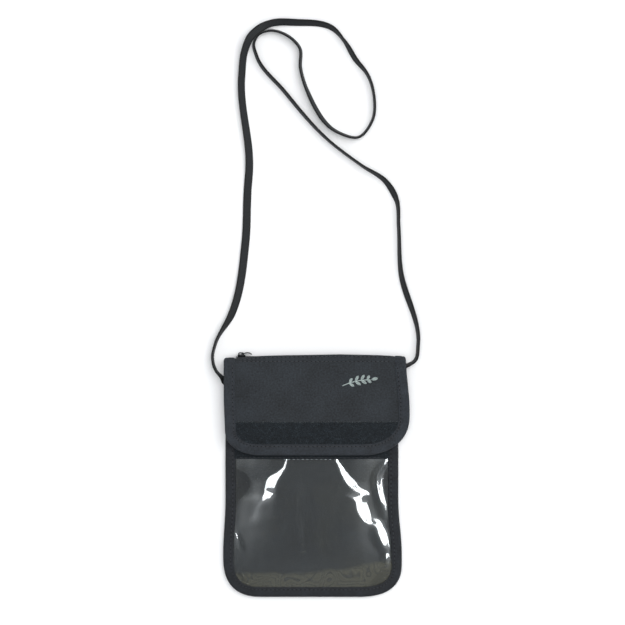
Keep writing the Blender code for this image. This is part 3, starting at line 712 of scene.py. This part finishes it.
def lacquered(name, colour, roughness=0.32, metallic=0.7):
    """Black lacquered metal, a little worn."""
    made, tree, shader = new_material(name, colour, roughness, metallic)
    wear = noise(tree, own_place(tree), 420.0, 3.0)
    shade(tree, shader, colour, wear, 0.6, 1.5)
    rough = stretched(tree, wear, 0.0, 1.0, roughness - 0.1, roughness + 0.15)
    tree.links.new(rough, shader.inputs["Roughness"])
    relief(tree, shader, wear, 0.03)
    return made


def clear_vinyl():
    """Clear vinyl: a mirror layer over a see-through sheet, with a painted reflection, an olive band with
    contour lines, on the sheet's lower part.
    """
    made = bpy.data.materials.new("window_vinyl")
    made.use_nodes = True
    tree = made.node_tree
    tree.nodes.remove(tree.nodes["Principled BSDF"])
    place = own_place(tree)
    x, y, _ = split_axes(tree, place)
    grain = noise(tree, place, 260.0, 3.0)

    # The mirror film: a clear reflection with a softer one mixed in.
    height = noise(tree, place, 110.0, 3.0)
    dent = new_node(tree, "Bump", {"Strength": 0.35, "Distance": 0.12 * MM, "Height": height})
    cool = (0.93, 0.97, 1.0, 1.0)
    clean, blurred = (
        new_node(tree, "BsdfGlossy", {"Roughness": roughness, "Color": cool, "Normal": dent})
        for roughness in (0.075, 0.32)
    )
    gloss = new_node(tree, "MixShader", {0: 0.3, 1: clean, 2: blurred})

    # The sheet under it: a painted reflection, an olive band with contour lines below the flap; faint clouds;
    # specks.
    warp = maths(tree, "MULTIPLY_ADD", noise(tree, place, 55.0, 1.0), 0.020, -0.010)
    right_side = maths(tree, "MULTIPLY", maths(tree, "MAXIMUM", x, 0.0), 0.16)
    slope = maths(tree, "MULTIPLY_ADD", warp, 0.35, right_side)
    depth = maths(tree, "SUBTRACT", maths(tree, "ADD", slope, -0.0725), y)
    # The mask of the painted reflection: the window's lower part, reaching higher on the right.
    reflection_band = stretched(tree, depth, 0.0, 0.0035, 0.0, 1.0)
    curl = maths(tree, "MULTIPLY_ADD", noise(tree, place, 95.0, 0.0), 0.020, -0.010)
    lines = wave(tree, maths(tree, "MULTIPLY_ADD", curl, 2.2, depth), 0.0064)
    dark = stretched(tree, lines, 0.55, 0.95, 1.0, 0.3)
    painted_reflection = maths(tree, "MULTIPLY", maths(tree, "MULTIPLY", reflection_band, dark), 0.36)
    cloud = stretched(tree, noise(tree, place, 38.0, 2.0), 0.48, 0.72, 0.0, 0.05)
    specks = stretched(tree, noise(tree, place, 620.0), 0.66, 0.76, 0.0, 0.45)
    # Fine grain is added over the painted reflection.
    painted_reflection = maths(tree, "MULTIPLY_ADD", grain, 0.05, painted_reflection)
    dust_and_painted_reflection = maths(tree, "ADD", maths(tree, "ADD", cloud, specks), painted_reflection)
    clear = new_node(tree, "BsdfTransparent", {"Color": (0.93, 0.94, 0.94, 1.0)})
    # This olive colour is the painted reflection's tint, and also that of the clouds and specks.
    haze_and_reflection_tint = new_node(tree, "BsdfDiffuse", {"Color": (0.12, 0.118, 0.085, 1.0)})
    sheet = new_node(tree, "MixShader", {0: dust_and_painted_reflection, 1: clear, 2: haze_and_reflection_tint})

    mirror = new_node(tree, "Fresnel", {"IOR": 1.75, "Normal": dent})
    surface = new_node(tree, "MixShader", {0: mirror, 1: sheet, 2: gloss})
    tree.links.new(surface, tree.nodes["Material Output"].inputs["Surface"])
    return made


def glint_bead():
    """Pale beads on the vinyl's edge between the stitches: a painted glint, their light colour standing for a
    highlight.
    """
    made, tree, shader = new_material("window_edge_glint", (0.55, 0.60, 0.62), 0.15)
    shade(tree, shader, (0.45, 0.50, 0.52), noise(tree, own_place(tree), 700.0), 0.4, 1.5)
    return made


SHELL = woven("nylon_shell_cloth", (0.017, 0.022, 0.029))
FLAP_CLOTH = woven("flap_cloth", (0.0125, 0.0160, 0.0200))
LINING = woven("lining_cloth", (0.014, 0.017, 0.021), pitch=0.4, roughness=0.85)
# One binding tape in two copies: the body's painted darker as shade, the flap's painted lighter as light, where
# it stands higher.
BODY_TAPE_SHADED = ribbed("body_tape_cloth_shaded", (0.0105, 0.0125, 0.0158))
FLAP_TAPE_LIT = ribbed("flap_tape_cloth_lit", (0.0165, 0.0205, 0.0260))
ZIP_TAPE = ribbed("zip_tape_cloth", (0.018, 0.020, 0.024), pitch=0.5)
STRAP = webbing("strap_webbing_cloth", (0.0062, 0.0074, 0.0086))
LOOP_BACK = fuzzy("loop_tape_cloth", (0.007, 0.010, 0.013))
LOOPS = spun("loop_fibres", (0.020, 0.028, 0.034), 0.9, 0.05, 2.6, 480.0)
LOOP_EDGE = spun("loop_edge_fibres", (0.085, 0.10, 0.105), 0.9, 0.5, 1.6)
HOOKS = spun("hook_bristles", (0.022, 0.024, 0.027), 0.45)
STITCH = spun("stitch_thread", (0.024, 0.027, 0.031))
# Near black: painted shade in the needle holes.
HOLE_SHADE = spun("stitch_hole_shade", (0.004, 0.004, 0.005), 0.9)
EMBLEM = spun("emblem_satin", (0.34, 0.40, 0.385), 0.45, 0.7, 1.3)
COIL = spun("zip_coil", (0.026, 0.027, 0.030), 0.38)
METAL = lacquered("slider_lacquer", (0.010, 0.011, 0.012), 0.45, 0.1)
STOP = lacquered("zip_stop_lacquer", (0.09, 0.09, 0.10))
VINYL_SHEET = clear_vinyl()
GLINT_BEAD = glint_bead()


def add(piece, body, slot, *nodes):
    """Puts a piece on a body and hides the CAD nodes it stands for. Its record slot is not used."""
    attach(piece, body)
    if nodes:
        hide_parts(*nodes)
    return piece


def shifted(function, amount):
    """The function with an amount added to what it gives: a height lifted, or a side moved across."""
    return lambda values: function(values) + amount


def layer(name, rows, sides, columns, height, lifts, finish):
    """A closed sheet whose two faces are a height lifted by two amounts."""
    low, high = (shifted(height, lift) for lift in lifts)
    return draped(name, rows, *sides, columns, low, high, finish)


# The pouch


def make_panels():
    sides = shifted(body_left, EDGE_INSET), shifted(body_right, -EDGE_INSET)

    def rows(top_y, pitch):
        return side_rows(top_y, BODY_BOTTOM_Y + EDGE_INSET, BODY_CORNERS[0][1], pitch)

    back = layer("rear_cloth", rows(PANEL_TOP_Y, 3.0), sides, 48, rear_height, (0.0, CLOTH), SHELL)
    add(back, "pouch", "nylon_shell", "rear_panel")
    middle = layer("centre_cloth", rows(PANEL_TOP_Y, 2.0), sides, 70, centre_height, (0.0, CLOTH), LINING)
    add(middle, "pouch", "nylon_lining", "centre_panel")
    lifts = (0.0, VINYL)
    window = layer("window_vinyl", rows(WINDOW_TOP_Y, 0.9), sides, 150, window_height, lifts, VINYL_SHEET)
    add(window, "pouch", "clear_vinyl", "window")


def binding_profile(width, low, high, tape):
    """A folded tape's section as (distance in, height): over the top, round the fold and back underneath."""
    middle, half = 0.5 * (low + high), 0.5 * (high - low)
    nose = half * 0.85
    outer = []
    for turn in np.radians(np.linspace(90.0, 270.0, 9)):
        outer.append((nose * (1.0 + math.cos(turn)), middle + half * math.sin(turn)))
    top = [(width, high - 0.25), (width - 0.35, high - 0.03), (width - 1.5, high + 0.02)]
    top += [(distance, high + 0.05) for distance in np.linspace(width - 2.4, nose + 0.6, 7)]
    bottom = [(distance, low) for distance in np.linspace(nose + 0.6, width, 6)]
    hollow = [(width, low + tape), (nose + 0.3, low + tape), (tape, middle), (nose + 0.3, high - tape)]
    return np.array(top + outer + bottom + hollow + [(width, high - tape)])


def binding(name, shape, profile, base, stitch_in, tape_finish):
    """A tape folded round an edge, its top face drawn down along the stitches."""
    points, inward = edge_path(*shape, BINDING_STEP)
    distance, height = profile[:, 0], profile[:, 1]
    along = np.arange(len(points)) * BINDING_STEP
    squeeze = 0.10 * np.cos(2.0 * math.pi * along / STITCH_PITCH)[:, None]
    groove = np.exp(-((distance - stitch_in) / 0.7) ** 2) * (height > np.median(height))
    spots = points[:, None] + inward[:, None] * distance[None, :, None]
    floor = base(spots.reshape(-1, 2)).reshape(len(points), -1)
    z = floor + height[None] - groove[None] * (0.22 + squeeze)
    return tube(name, np.concatenate([spots, z[..., None]], axis=-1), tape_finish)


def stitch_row(run, top):
    """Threads and holes of a row of stitches along points that are STITCH_STEP apart. top gives heights."""
    lines, holes = [], []
    arch = np.array((-0.20, 0.08, 0.12, 0.08, -0.20))
    for stitch in range(1, int((len(run) - 1) * STITCH_STEP / STITCH_PITCH)):
        centre = stitch * STITCH_PITCH
        parts = centre + np.linspace(-0.5, 0.5, len(arch)) * STITCH_LENGTH
        spots = run[np.rint(parts / STITCH_STEP).astype(int)]
        lines.append(np.column_stack([spots, top(spots) + arch]))
        hole = run[int(round((centre + 0.5 * STITCH_PITCH) / STITCH_STEP))]
        base = top(hole[None])[0]
        holes.append(np.array([(*hole, base - 0.25), (*hole, base + 0.13)]))
    return lines, holes


def sew(body, run, top, thread_name, hole_name=None, radius=STITCH_RADIUS, hole_radius=HOLE_RADIUS):
    """Adds a row of stitches along a run of points, with its holes where they have a name. The holes are
    near-black pillars of painted shade.
    """
    lines, holes = stitch_row(run, top)
    add(threads(thread_name, lines, radius, STITCH), body, "bartack_thread")
    if hole_name:
        add(threads(hole_name, holes, hole_radius, HOLE_SHADE, tips=1.0), body, "bartack_thread")


def flat_at(height):
    return lambda points: np.full(len(points), height)


def make_body_binding():
    profile = binding_profile(BODY_BINDING, 0.0, 3.8, 0.6)
    shape = (body_left, body_right, BODY_TOP_Y, BODY_BOTTOM_Y, BODY_CORNERS[0][1])
    stitch_in = BODY_BINDING - BODY_STITCH_IN
    tape = binding("body_binding_tape", shape, profile, flat_at(0.0), stitch_in, BODY_TAPE_SHADED)
    add(tape, "pouch", "binding_tape", "body_binding")
    points, inward = edge_path(*shape, STITCH_STEP)
    sew("pouch", points + inward * stitch_in, flat_at(3.68), "body_stitches", "body_stitch_holes")


def fuzz(name, roots, radius, size, finish, seed):
    """Curled fibres standing on a surface, one at each root."""
    draw = random.Random(seed)
    lines = []
    for x, y, z in roots:
        angle, reach = draw.uniform(0.0, 6.28), draw.uniform(0.5, 1.0) * size
        turn = angle + draw.uniform(-1.4, 1.4)
        step = 0.6 * reach
        first = (x + step * math.cos(angle), y + step * math.sin(angle), z + draw.uniform(0.3, 0.6) * size)
        last = (first[0] + step * math.cos(turn), first[1] + step * math.sin(turn), z + 0.1)
        lines.append(np.array([(x, y, z - 0.1), first, last]))
    return threads(name, lines, radius, finish, sides=3, tips=0.8)


def scattered(count, sides, y_range, height, seed):
    """Random places on a surface between two side lines."""
    draw = np.random.default_rng(seed)
    y = draw.uniform(*y_range, count)
    left, right = (side(y) for side in sides)
    spots = np.stack([left + (right - left) * draw.uniform(0.0, 1.0, count), y], axis=1)
    return np.column_stack([spots, height(spots)])


def make_front_strip():
    rows = np.linspace(*STRIP_Y, 22)
    sides = shifted(body_left, STRIP_INSET), shifted(body_right, -STRIP_INSET)
    strip = layer("front_loop_strip", rows, sides, 90, strip_height, STRIP_LIFTS, LOOP_BACK)
    add(strip, "pouch", "loop_tape", "front_strip")
    spots = scattered(2600, sides, (12.0, 31.2), shifted(strip_height, STRIP_LIFTS[1]), 31)
    add(fuzz("front_strip_loops", spots, 0.07, 0.8, LOOPS, 32), "pouch", "loop_tape")
    x = np.arange(body_left(12.0) + 9.0, body_right(12.0) - 9.0, STITCH_STEP)
    run = np.stack([x, np.full(len(x), 12.6)], axis=1)
    sew("pouch", run, shifted(strip_height, 1.4), "front_strip_stitches")
    # Painted glints: pale beads along the window's top edge that stand for highlights on it.
    glints = []
    for start in np.arange(-24.0, 10.5, 3.4):
        spot = np.array([(start, 11.35), (start + 1.5, 11.3)])
        glints.append(np.column_stack([spot, window_height(spot) + VINYL]))
    add(threads("window_edge_glints", glints, 0.3, GLINT_BEAD, tips=0.5), "pouch", "clear_vinyl")


# The flap


def make_flap():
    rows = side_rows(FLAP_TOP_Y, FLAP_BOTTOM_Y + EDGE_INSET, FLAP_CORNERS[1][1], 1.6)
    sides = shifted(flap_left, EDGE_INSET), shifted(flap_right, -EDGE_INSET)
    outer = layer("flap_outer_cloth", rows, sides, 90, flap_height, FLAP_OUTER_LIFTS, FLAP_CLOTH)
    add(outer, "flap", "flap_nylon", "flap_outer")
    lining = layer("flap_lining_cloth", rows, sides, 90, flap_height, (0.0, CLOTH), LINING)
    add(lining, "flap", "nylon_lining", "flap_lining")
    profile = binding_profile(FLAP_BINDING, -0.6, 2.05, 0.5)
    shape = (flap_left, flap_right, FLAP_TOP_Y, FLAP_BOTTOM_Y, FLAP_CORNERS[1][1])
    stitch_in = FLAP_BINDING - FLAP_STITCH_IN
    tape = binding("flap_binding_tape", shape, profile, flap_height, stitch_in, FLAP_TAPE_LIT)
    add(tape, "flap", "binding_tape", "flap_binding")
    points, inward = edge_path(*shape, STITCH_STEP)
    top = shifted(flap_height, FLAP_TOP_LIFT)
    sew("flap", points + inward * stitch_in, top, "flap_stitches", "flap_stitch_holes")


def bend_round(piece):
    """Bakes a piece's placing into its mesh, for a piece between the pouch and the flap."""
    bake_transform(piece)


def power_wave(value, power):
    """A wave's value with its size raised to a power and its sign kept."""
    return math.copysign(abs(value) ** power, value)


def make_fold():
    """The cloth and the two ends of the binding, carried round the fold from the pouch to the flap."""
    arc = np.radians(np.linspace(-90.0, 90.0, 13))
    under = np.linspace(74.0, HINGE_Y - 0.4, 10)
    over = np.linspace(HINGE_Y - 0.4, FLAP_TOP_Y, 6)
    out_y = np.concatenate([np.zeros(len(under)), np.cos(arc), np.zeros(len(over))])
    out_z = np.concatenate([np.full(len(under), -1.0), np.sin(arc), np.full(len(over), 1.0)])
    y = np.concatenate([under, HINGE_Y + FOLD_RADIUS * np.cos(arc), over])
    z = FOLD_RADIUS * out_z + HINGE_Z
    x = np.linspace(FLAP_LEFT[0] + 2.0, FLAP_RIGHT[0] - 2.0, 90)
    pull = smooth((y - FLAP_TOP_Y) / FOLD_PULL)
    half = 0.27
    grids = []
    for offset in (-half, half):
        place_y = (y + out_y * offset)[:, None] + pull[:, None] * fold_shift(x)[None]
        place_z = np.repeat((z + out_z * offset)[:, None], len(x), axis=1)
        grids.append(np.stack([np.repeat(x[None], len(y), axis=0), place_y, place_z], axis=-1))
    cloth = shell("fold_cloth", *grids, FLAP_CLOTH)
    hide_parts("flap_seam")
    bend_round(cloth)
    for name, edge_x, inward in (("left", FLAP_LEFT[0], 1.0), ("right", FLAP_RIGHT[0], -1.0)):
        rings = []
        for place_y, place_z, toward_y, toward_z, drawn in zip(y, z, out_y, out_z, pull):
            ring = []
            for turn in np.linspace(0.0, 2.0 * math.pi, 20, endpoint=False):
                place_x = edge_x + inward * FLAP_BINDING * 0.5 * (1.0 - power_wave(math.cos(turn), 0.35))
                thick = power_wave(math.sin(turn), 0.7)
                radial = 0.10 + (0.75 if thick > 0 else 0.25) * thick
                shift = drawn * fold_shift(np.array([place_x]))[0]
                ring.append((place_x, place_y + toward_y * radial + shift, place_z + toward_z * radial))
            rings.append(ring)
        end = tube("fold_binding_" + name, rings, FLAP_TAPE_LIT)
        bend_round(end)


def make_topstitching():
    """Two rows of stitches along the fold."""
    for name, row_y in (("upper", 87.6), ("lower", 84.6)):
        x = np.arange(FLAP_LEFT[0] + 9.5, FLAP_RIGHT[0] - 9.5, STITCH_STEP)
        y = row_y + fold_shift(x) * smooth((row_y - FLAP_TOP_Y) / FOLD_PULL)
        names = "fold_stitches_" + name, "fold_stitch_holes_" + name
        sew("flap", np.stack([x, y], axis=1), flat_at(9.9), *names, radius=0.2, hole_radius=0.40)


def inset_sides(distance):
    """Side lines that stay this far inside the flap's edge, tabled over y."""
    rows = np.linspace(FLAP_BOTTOM_Y + distance + 0.2, FLAP_TOP_Y, 140)
    sides = []
    for far_x in (-75.0, 75.0):
        outside, within = np.full(len(rows), far_x), np.zeros(len(rows))
        for _ in range(22):
            middle = 0.5 * (outside + within)
            deep = inside(np.stack([middle, rows], axis=1), FLAP_LINE) > distance
            within, outside = np.where(deep, middle, within), np.where(deep, outside, middle)
        sides.append(lambda y, found=within: np.interp(y, rows, found))
    return sides


def make_flap_strips():
    sides = inset_sides(FLAP_BINDING - 0.2)
    rows = np.linspace(*PATCH_Y, 22)
    patch = layer("flap_loop_patch", rows, sides, 110, flap_height, PATCH_LIFTS, LOOP_BACK)
    add(patch, "flap", "loop_tape", "flap_patch")
    top = shifted(flap_height, PATCH_LIFTS[1])
    spots = scattered(4600, sides, (23.0, 39.2), top, 41)
    add(fuzz("flap_patch_loops", spots, 0.08, 0.9, LOOPS, 42), "flap", "loop_tape")
    edge = scattered(520, sides, (38.9, 39.9), top, 43)
    add(fuzz("flap_patch_edge_fibres", edge, 0.055, 0.8, LOOP_EDGE, 44), "flap", "loop_tape")
    hooks = layer("flap_hook_tape", np.linspace(*HOOK_Y, 14), sides, 90, flap_height, HOOK_LIFTS, LINING)
    add(hooks, "flap", "hook_tape", "flap_hook_strip")
    left, right = sides
    lines = []
    for y in np.arange(25.0, 36.6, 1.35):
        for x in np.arange(left(y) + 1.2, right(y) - 1.2, 1.5):
            base = flap_height(np.array([(x, y)]))[0] + HOOK_LIFTS[0]
            lines.append(np.array([(x, y, base + 0.1), (x, y, base - 0.35), (x + 0.35, y, base - 0.5)]))
    add(threads("flap_hook_bristles", lines, 0.13, HOOKS, sides=5, tips=0.6), "flap", "hook_tape")


def leaf(start, angle, length, width, height):
    """Satin threads that fill a pointed leaf, slanted from its midrib to its edge."""
    turn = math.radians(angle)
    ahead = np.array((math.cos(turn), math.sin(turn)))
    side = np.array((-ahead[1], ahead[0]))
    lines = []
    for part in np.arange(0.08, 0.97, 0.30 / length):
        half = 0.5 * width * math.sin(math.pi * part ** 0.8) ** 0.9
        base = np.array(start) + ahead * length * part
        for way in (-1.0, 1.0):
            tip = base + side * way * half + ahead * half * 0.7
            spots = np.array([base, 0.5 * (base + tip), tip])
            lines.append(np.column_stack([spots, height(spots) + (0.05, 0.16, 0.0)]))
    return lines


def make_emblem():
    """A sprig of leaves in satin stitch: a bending stem with paired leaves and one at its tip."""
    top = shifted(flap_height, FLAP_OUTER_LIFTS[1] + 0.05)
    steps = np.linspace(0.0, 1.0, 30)
    stem_x = EMBLEM_CENTRE[0] - 13.6 + 21.5 * steps
    stem_y = EMBLEM_CENTRE[1] - 3.4 + 4.6 * steps + 1.3 * np.sin(math.pi * steps)
    stem = np.stack([stem_x, stem_y], axis=1)
    lines = []
    for offset in (-0.16, 0.16):
        strand = stem + (0.0, offset)
        lines.append(np.column_stack([strand, top(strand) + 0.12]))
    for index, size in ((7, 4.6), (13, 5.3), (19, 5.0), (25, 4.0)):
        for way in (-1.0, 1.0):
            lines += leaf(stem[index], 14.0 + way * 44.0, size, 2.1, top)
    lines += leaf(stem[-1], 12.0, 5.6, 2.3, top)
    add(threads("emblem_sprig", lines, 0.19, EMBLEM), "flap", "emblem_thread", "flap_emblem")


# The zip


def zip_tape_profile():
    """The rear tape's section as (y, z): level from its sewn edge, then bent up towards the coil."""
    line = [(y, ZIP_TAPE_Z) for y in ZIP_TAPE_Y]
    for turn in np.linspace(0.0, 0.5 * math.pi, 8):
        rise = ZIP_BEND_RADIUS * (1.0 - math.cos(turn))
        line.append((ZIP_BEND_Y + ZIP_BEND_RADIUS * math.sin(turn), ZIP_TAPE_Z + rise))
    line = np.array(line + [(ZIP_BEND_Y + ZIP_BEND_RADIUS, ZIP_Z - ZIP_TAPE_GAP)])
    ahead = unit(np.gradient(line, axis=0))
    normal = np.stack([-ahead[:, 1], ahead[:, 0]], axis=1)
    return np.concatenate([line - normal * ZIP_TAPE_HALF, (line + normal * ZIP_TAPE_HALF)[::-1]])


def make_zip():
    """Each tape with its coil. The front one mirrors the rear one, with its coil shifted by half a pitch."""
    for name, side, shift in (("rear", -1.0, 0.0), ("front", 1.0, 0.5 * COIL_PITCH)):
        profile = zip_tape_profile()
        if side > 0:
            profile[:, 1] = 2.0 * ZIP_Z - profile[:, 1]
        rings = [np.column_stack([np.full(len(profile), x), profile]) for x in np.linspace(*ZIP_X, 60)]
        add(tube("zip_tape_" + name + "_cloth", rings, ZIP_TAPE), "pouch", "zip_tape", "zip_tape_" + name)
        loop = ((0.0, 86.75, 2.15), (0.0, 86.75, 1.0), (0.0, 87.0, 0.45), (0.0, 87.9, 0.45), (0.0, 88.2, 1.0),
                (0.3, 88.05, 2.15))
        lines = [
            np.array([(x + shift + along, y, ZIP_Z + side * depth) for along, y, depth in loop])
            for x in np.arange(ZIP_X[0] + 1.6, ZIP_X[1] - 1.6, COIL_PITCH)
        ]
        coil = threads("zip_coil_" + name, lines, COIL_RADIUS, COIL, tips=1.0)
        add(coil, "pouch", "zip_teeth", "zip_teeth_" + name)


def rounded_copy(node, name, finish, width, body, slot):
    """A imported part's mesh with its edges rounded, as a piece that stands for it."""
    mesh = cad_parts[node].data.copy()
    mesh.name = name
    mesh.materials.clear()
    mesh.materials.append(finish)
    solid = bmesh.new()
    solid.from_mesh(mesh)
    bmesh.ops.remove_doubles(solid, verts=solid.verts, dist=0.005 * MM)
    bmesh.ops.dissolve_limit(solid, angle_limit=0.01, verts=solid.verts, edges=solid.edges)
    sharp = [edge for edge in solid.edges if edge.calc_face_angle(0.0) > 0.5]
    bmesh.ops.bevel(solid, geom=sharp, offset=width * MM, segments=2, affect="EDGES", clamp_overlap=True)
    solid.to_mesh(mesh)
    solid.free()
    mesh.shade_smooth()
    mesh.set_sharp_from_angle(angle=SHARP_ANGLE)
    add(placed(name, mesh), body, slot, node)


def make_zip_metal():
    rounded_copy("zip_slider", "slider_body", METAL, 0.22, "slider", "slider_metal")
    rounded_copy("zip_puller", "puller_tab", METAL, 0.14, "puller", "puller_metal")
    for side in ("left", "right"):
        rounded_copy("zip_stop_" + side, "stop_" + side, STOP, 0.12, "pouch", "zip_stop_metal")


# The strap


def ribbon_profile(width, thickness):
    """The webbing's section as (across, up): a flat bar with round edges."""
    half = 0.5 * thickness
    reach = 0.5 * width - half
    upper = [(across, half) for across in np.linspace(-reach, reach, 7)]
    right = [(reach + half * math.cos(turn), half * math.sin(turn)) for turn in (0.9, 0.3, -0.3, -0.9)]
    lower = [(across, -half) for across in np.linspace(reach, -reach, 7)]
    left = [(-across, -up) for across, up in right]
    return np.array(upper + right + lower + left)


def softened(values, reach=12, spread=2.5):
    """Values along a line, each blended with its neighbours."""
    weights = np.exp(-0.5 * (np.arange(-reach, reach + 1) / spread) ** 2)
    return np.convolve(np.pad(values, reach, mode="edge"), weights / weights.sum(), mode="valid")


def ribbon(name, line, twist, thickness):
    """Flat webbing along a line, turned on edge by its twist at each point."""
    ahead = unit(np.gradient(line, axis=0))
    level = unit(np.stack([-ahead[:, 1], ahead[:, 0], np.zeros(len(line))], axis=1))
    rise = np.cross(ahead, level)
    cosine, sine = np.cos(twist)[:, None], np.sin(twist)[:, None]
    across, up = level * cosine + rise * sine, rise * cosine - level * sine
    profile = ribbon_profile(STRAP_WIDTH, thickness)
    rings = line[:, None] + across[:, None] * profile[None, :, :1] + up[:, None] * profile[None, :, 1:]
    return tube(name, rings, STRAP, across=profile[:, 0])


def make_strap():
    samples = 14
    route = np.array(STRAP_ROUTE)
    for index, shift in STRAP_SETTLED.items():
        route[index, :2] += shift
    line = smooth_route(route, samples)
    keys = np.array(STRAP_TWIST, float)
    twist = np.radians(softened(np.interp(np.arange(len(line)) / samples, keys[:, 0], keys[:, 1])))
    along = travelled(line[:, :2])
    rest = 0.5 * STRAP_WIDTH * np.sin(twist) + 0.5 * STRAP_THICKNESS * np.cos(twist) + FLOOR_GAP
    hump = np.maximum(line[:, 2] - TUBE_REST_Z, 0.0) * OVERLAP_RISE
    lift = sum(np.maximum(1.0 - away / STRAP_END_RISE, 0.0) for away in (along, along[-1] - along))
    line[:, 2] = rest + hump + (STRAP_END_Z - rest) * smooth(lift)
    strap = ribbon("neck_strap_webbing", line, twist, STRAP_THICKNESS)
    add(strap, "pouch", "strap_webbing", "neck_strap")
    ends = [make_strap_end(name, *points) for name, points in STRAP_ENDS.items()]


def make_strap_end(name, inner, outer, turn):
    """A sewn end of the strap, with its zigzag bartack."""
    inner, outer = np.array(inner), np.array(outer)
    ahead = unit(outer - inner)
    side = np.array((-ahead[1], ahead[0]))
    spots = inner + (outer - inner) * np.linspace(0.0, 1.0, 16)[:, None]
    twist = math.radians(turn) * smooth(1.0 - np.linalg.norm(outer - spots, axis=1) / 4.0)
    line = np.column_stack([spots, np.full(len(spots), STRAP_END_Z)])
    end = ribbon("strap_end_" + name + "_webbing", line, twist, STRAP_END_THICKNESS)
    add(end, "pouch", "strap_webbing", "strap_end_" + name)
    zigzag = []
    start, step, half, top = 2.1, 0.12, 2.3, STRAP_END_Z + 0.5
    for index in range(16):
        spot = inner + ahead * (start + step * index)
        way = half if index % 2 else -half
        first, last = spot + side * way, spot + ahead * step - side * way
        middle = 0.6 * first + 0.4 * last
        zigzag.append(np.array([(*first, top - 0.15), (*middle, top + 0.05), (*last, top - 0.15)]))
    tack = threads("bartack_" + name + "_threads", zigzag, 0.11, STITCH)
    add(tack, "pouch", "bartack_thread", "bartack_" + name)
    return end


# The studio


def softbox(name, place, aim, size, power):
    light = bpy.data.lights.new(name, "AREA")
    light.shape = "RECTANGLE"
    light.size, light.size_y = size
    light.energy = power
    obj = placed(name, light)
    obj.location = place
    obj.rotation_euler = (Vector(place) - Vector(aim)).to_track_quat("Z", "Y").to_euler()
    return obj


def studio_world():
    """A pale room with a darker ceiling."""
    world = bpy.data.worlds.new("studio")
    world.use_nodes = True
    tree = world.node_tree
    direction = tree.nodes.new("ShaderNodeTexCoord").outputs["Generated"]
    strength = stretched(tree, split_axes(tree, direction)[2], 0.72, 0.995, 0.62, 0.25)
    fill(tree, tree.nodes["Background"], {"Color": (0.93, 0.96, 1.0, 1.0), "Strength": strength})
    return world


def make_camera():
    """A camera that looks straight down on the pouch and its strap."""
    distance, view_width = 1.7, 0.46875
    camera = bpy.data.cameras.new("camera")
    camera.sensor_width = 36.0
    camera.lens = camera.sensor_width * distance / view_width
    camera.clip_end = 20.0
    obj = placed("camera", camera)
    obj.location = (-0.0024, 0.1211, distance + 0.002)
    bpy.context.scene.camera = obj


def make_floor():
    pale, side = (0.93, 0.93, 0.93), 4.0
    white, tree, shader = new_material("pale_floor", pale, 0.9)
    shade(tree, shader, pale, noise(tree, own_place(tree), 3.0), 0.99, 1.01)
    mesh = bpy.data.meshes.new("floor")
    corners = [(-side, -side, 0), (side, -side, 0), (side, side, 0), (-side, side, 0)]
    mesh.from_pydata(corners, [], [(0, 1, 2, 3)])
    mesh.materials.append(white)
    floor = placed("floor", mesh)
    floor.location.z = -0.0001


def make_studio():
    """The camera, the floor and the lights. The strip lights show only as reflections, and the overhead
    panel not at all in them."""
    bpy.context.scene.view_settings.view_transform = "Standard"
    make_camera()
    make_floor()
    bpy.context.scene.world = studio_world()
    aim = (0.0, 0.08, 0.0)
    mirrored = (
        softbox("strip_light_left", (-0.80, 0.38, 1.25), aim, (0.80, 0.38), 13.0),
        softbox("strip_light_right", (0.80, 0.36, 1.25), aim, (1.00, 0.46), 18.0),
    )
    for light in mirrored:
        light.visible_diffuse = False
    softbox("key_panel", (1.20, 0.90, 1.70), aim, (1.40, 1.40), 20.0)
    overhead = softbox("overhead_panel", (0.0, 0.10, 2.20), aim, (1.60, 1.60), 24.0)
    overhead.visible_glossy = False


def main():
    make_studio()
    make_strap()
    make_panels()
    make_body_binding()
    make_front_strip()
    make_flap()
    make_fold()
    make_topstitching()
    make_flap_strips()
    make_emblem()
    make_zip()
    make_zip_metal()


main()
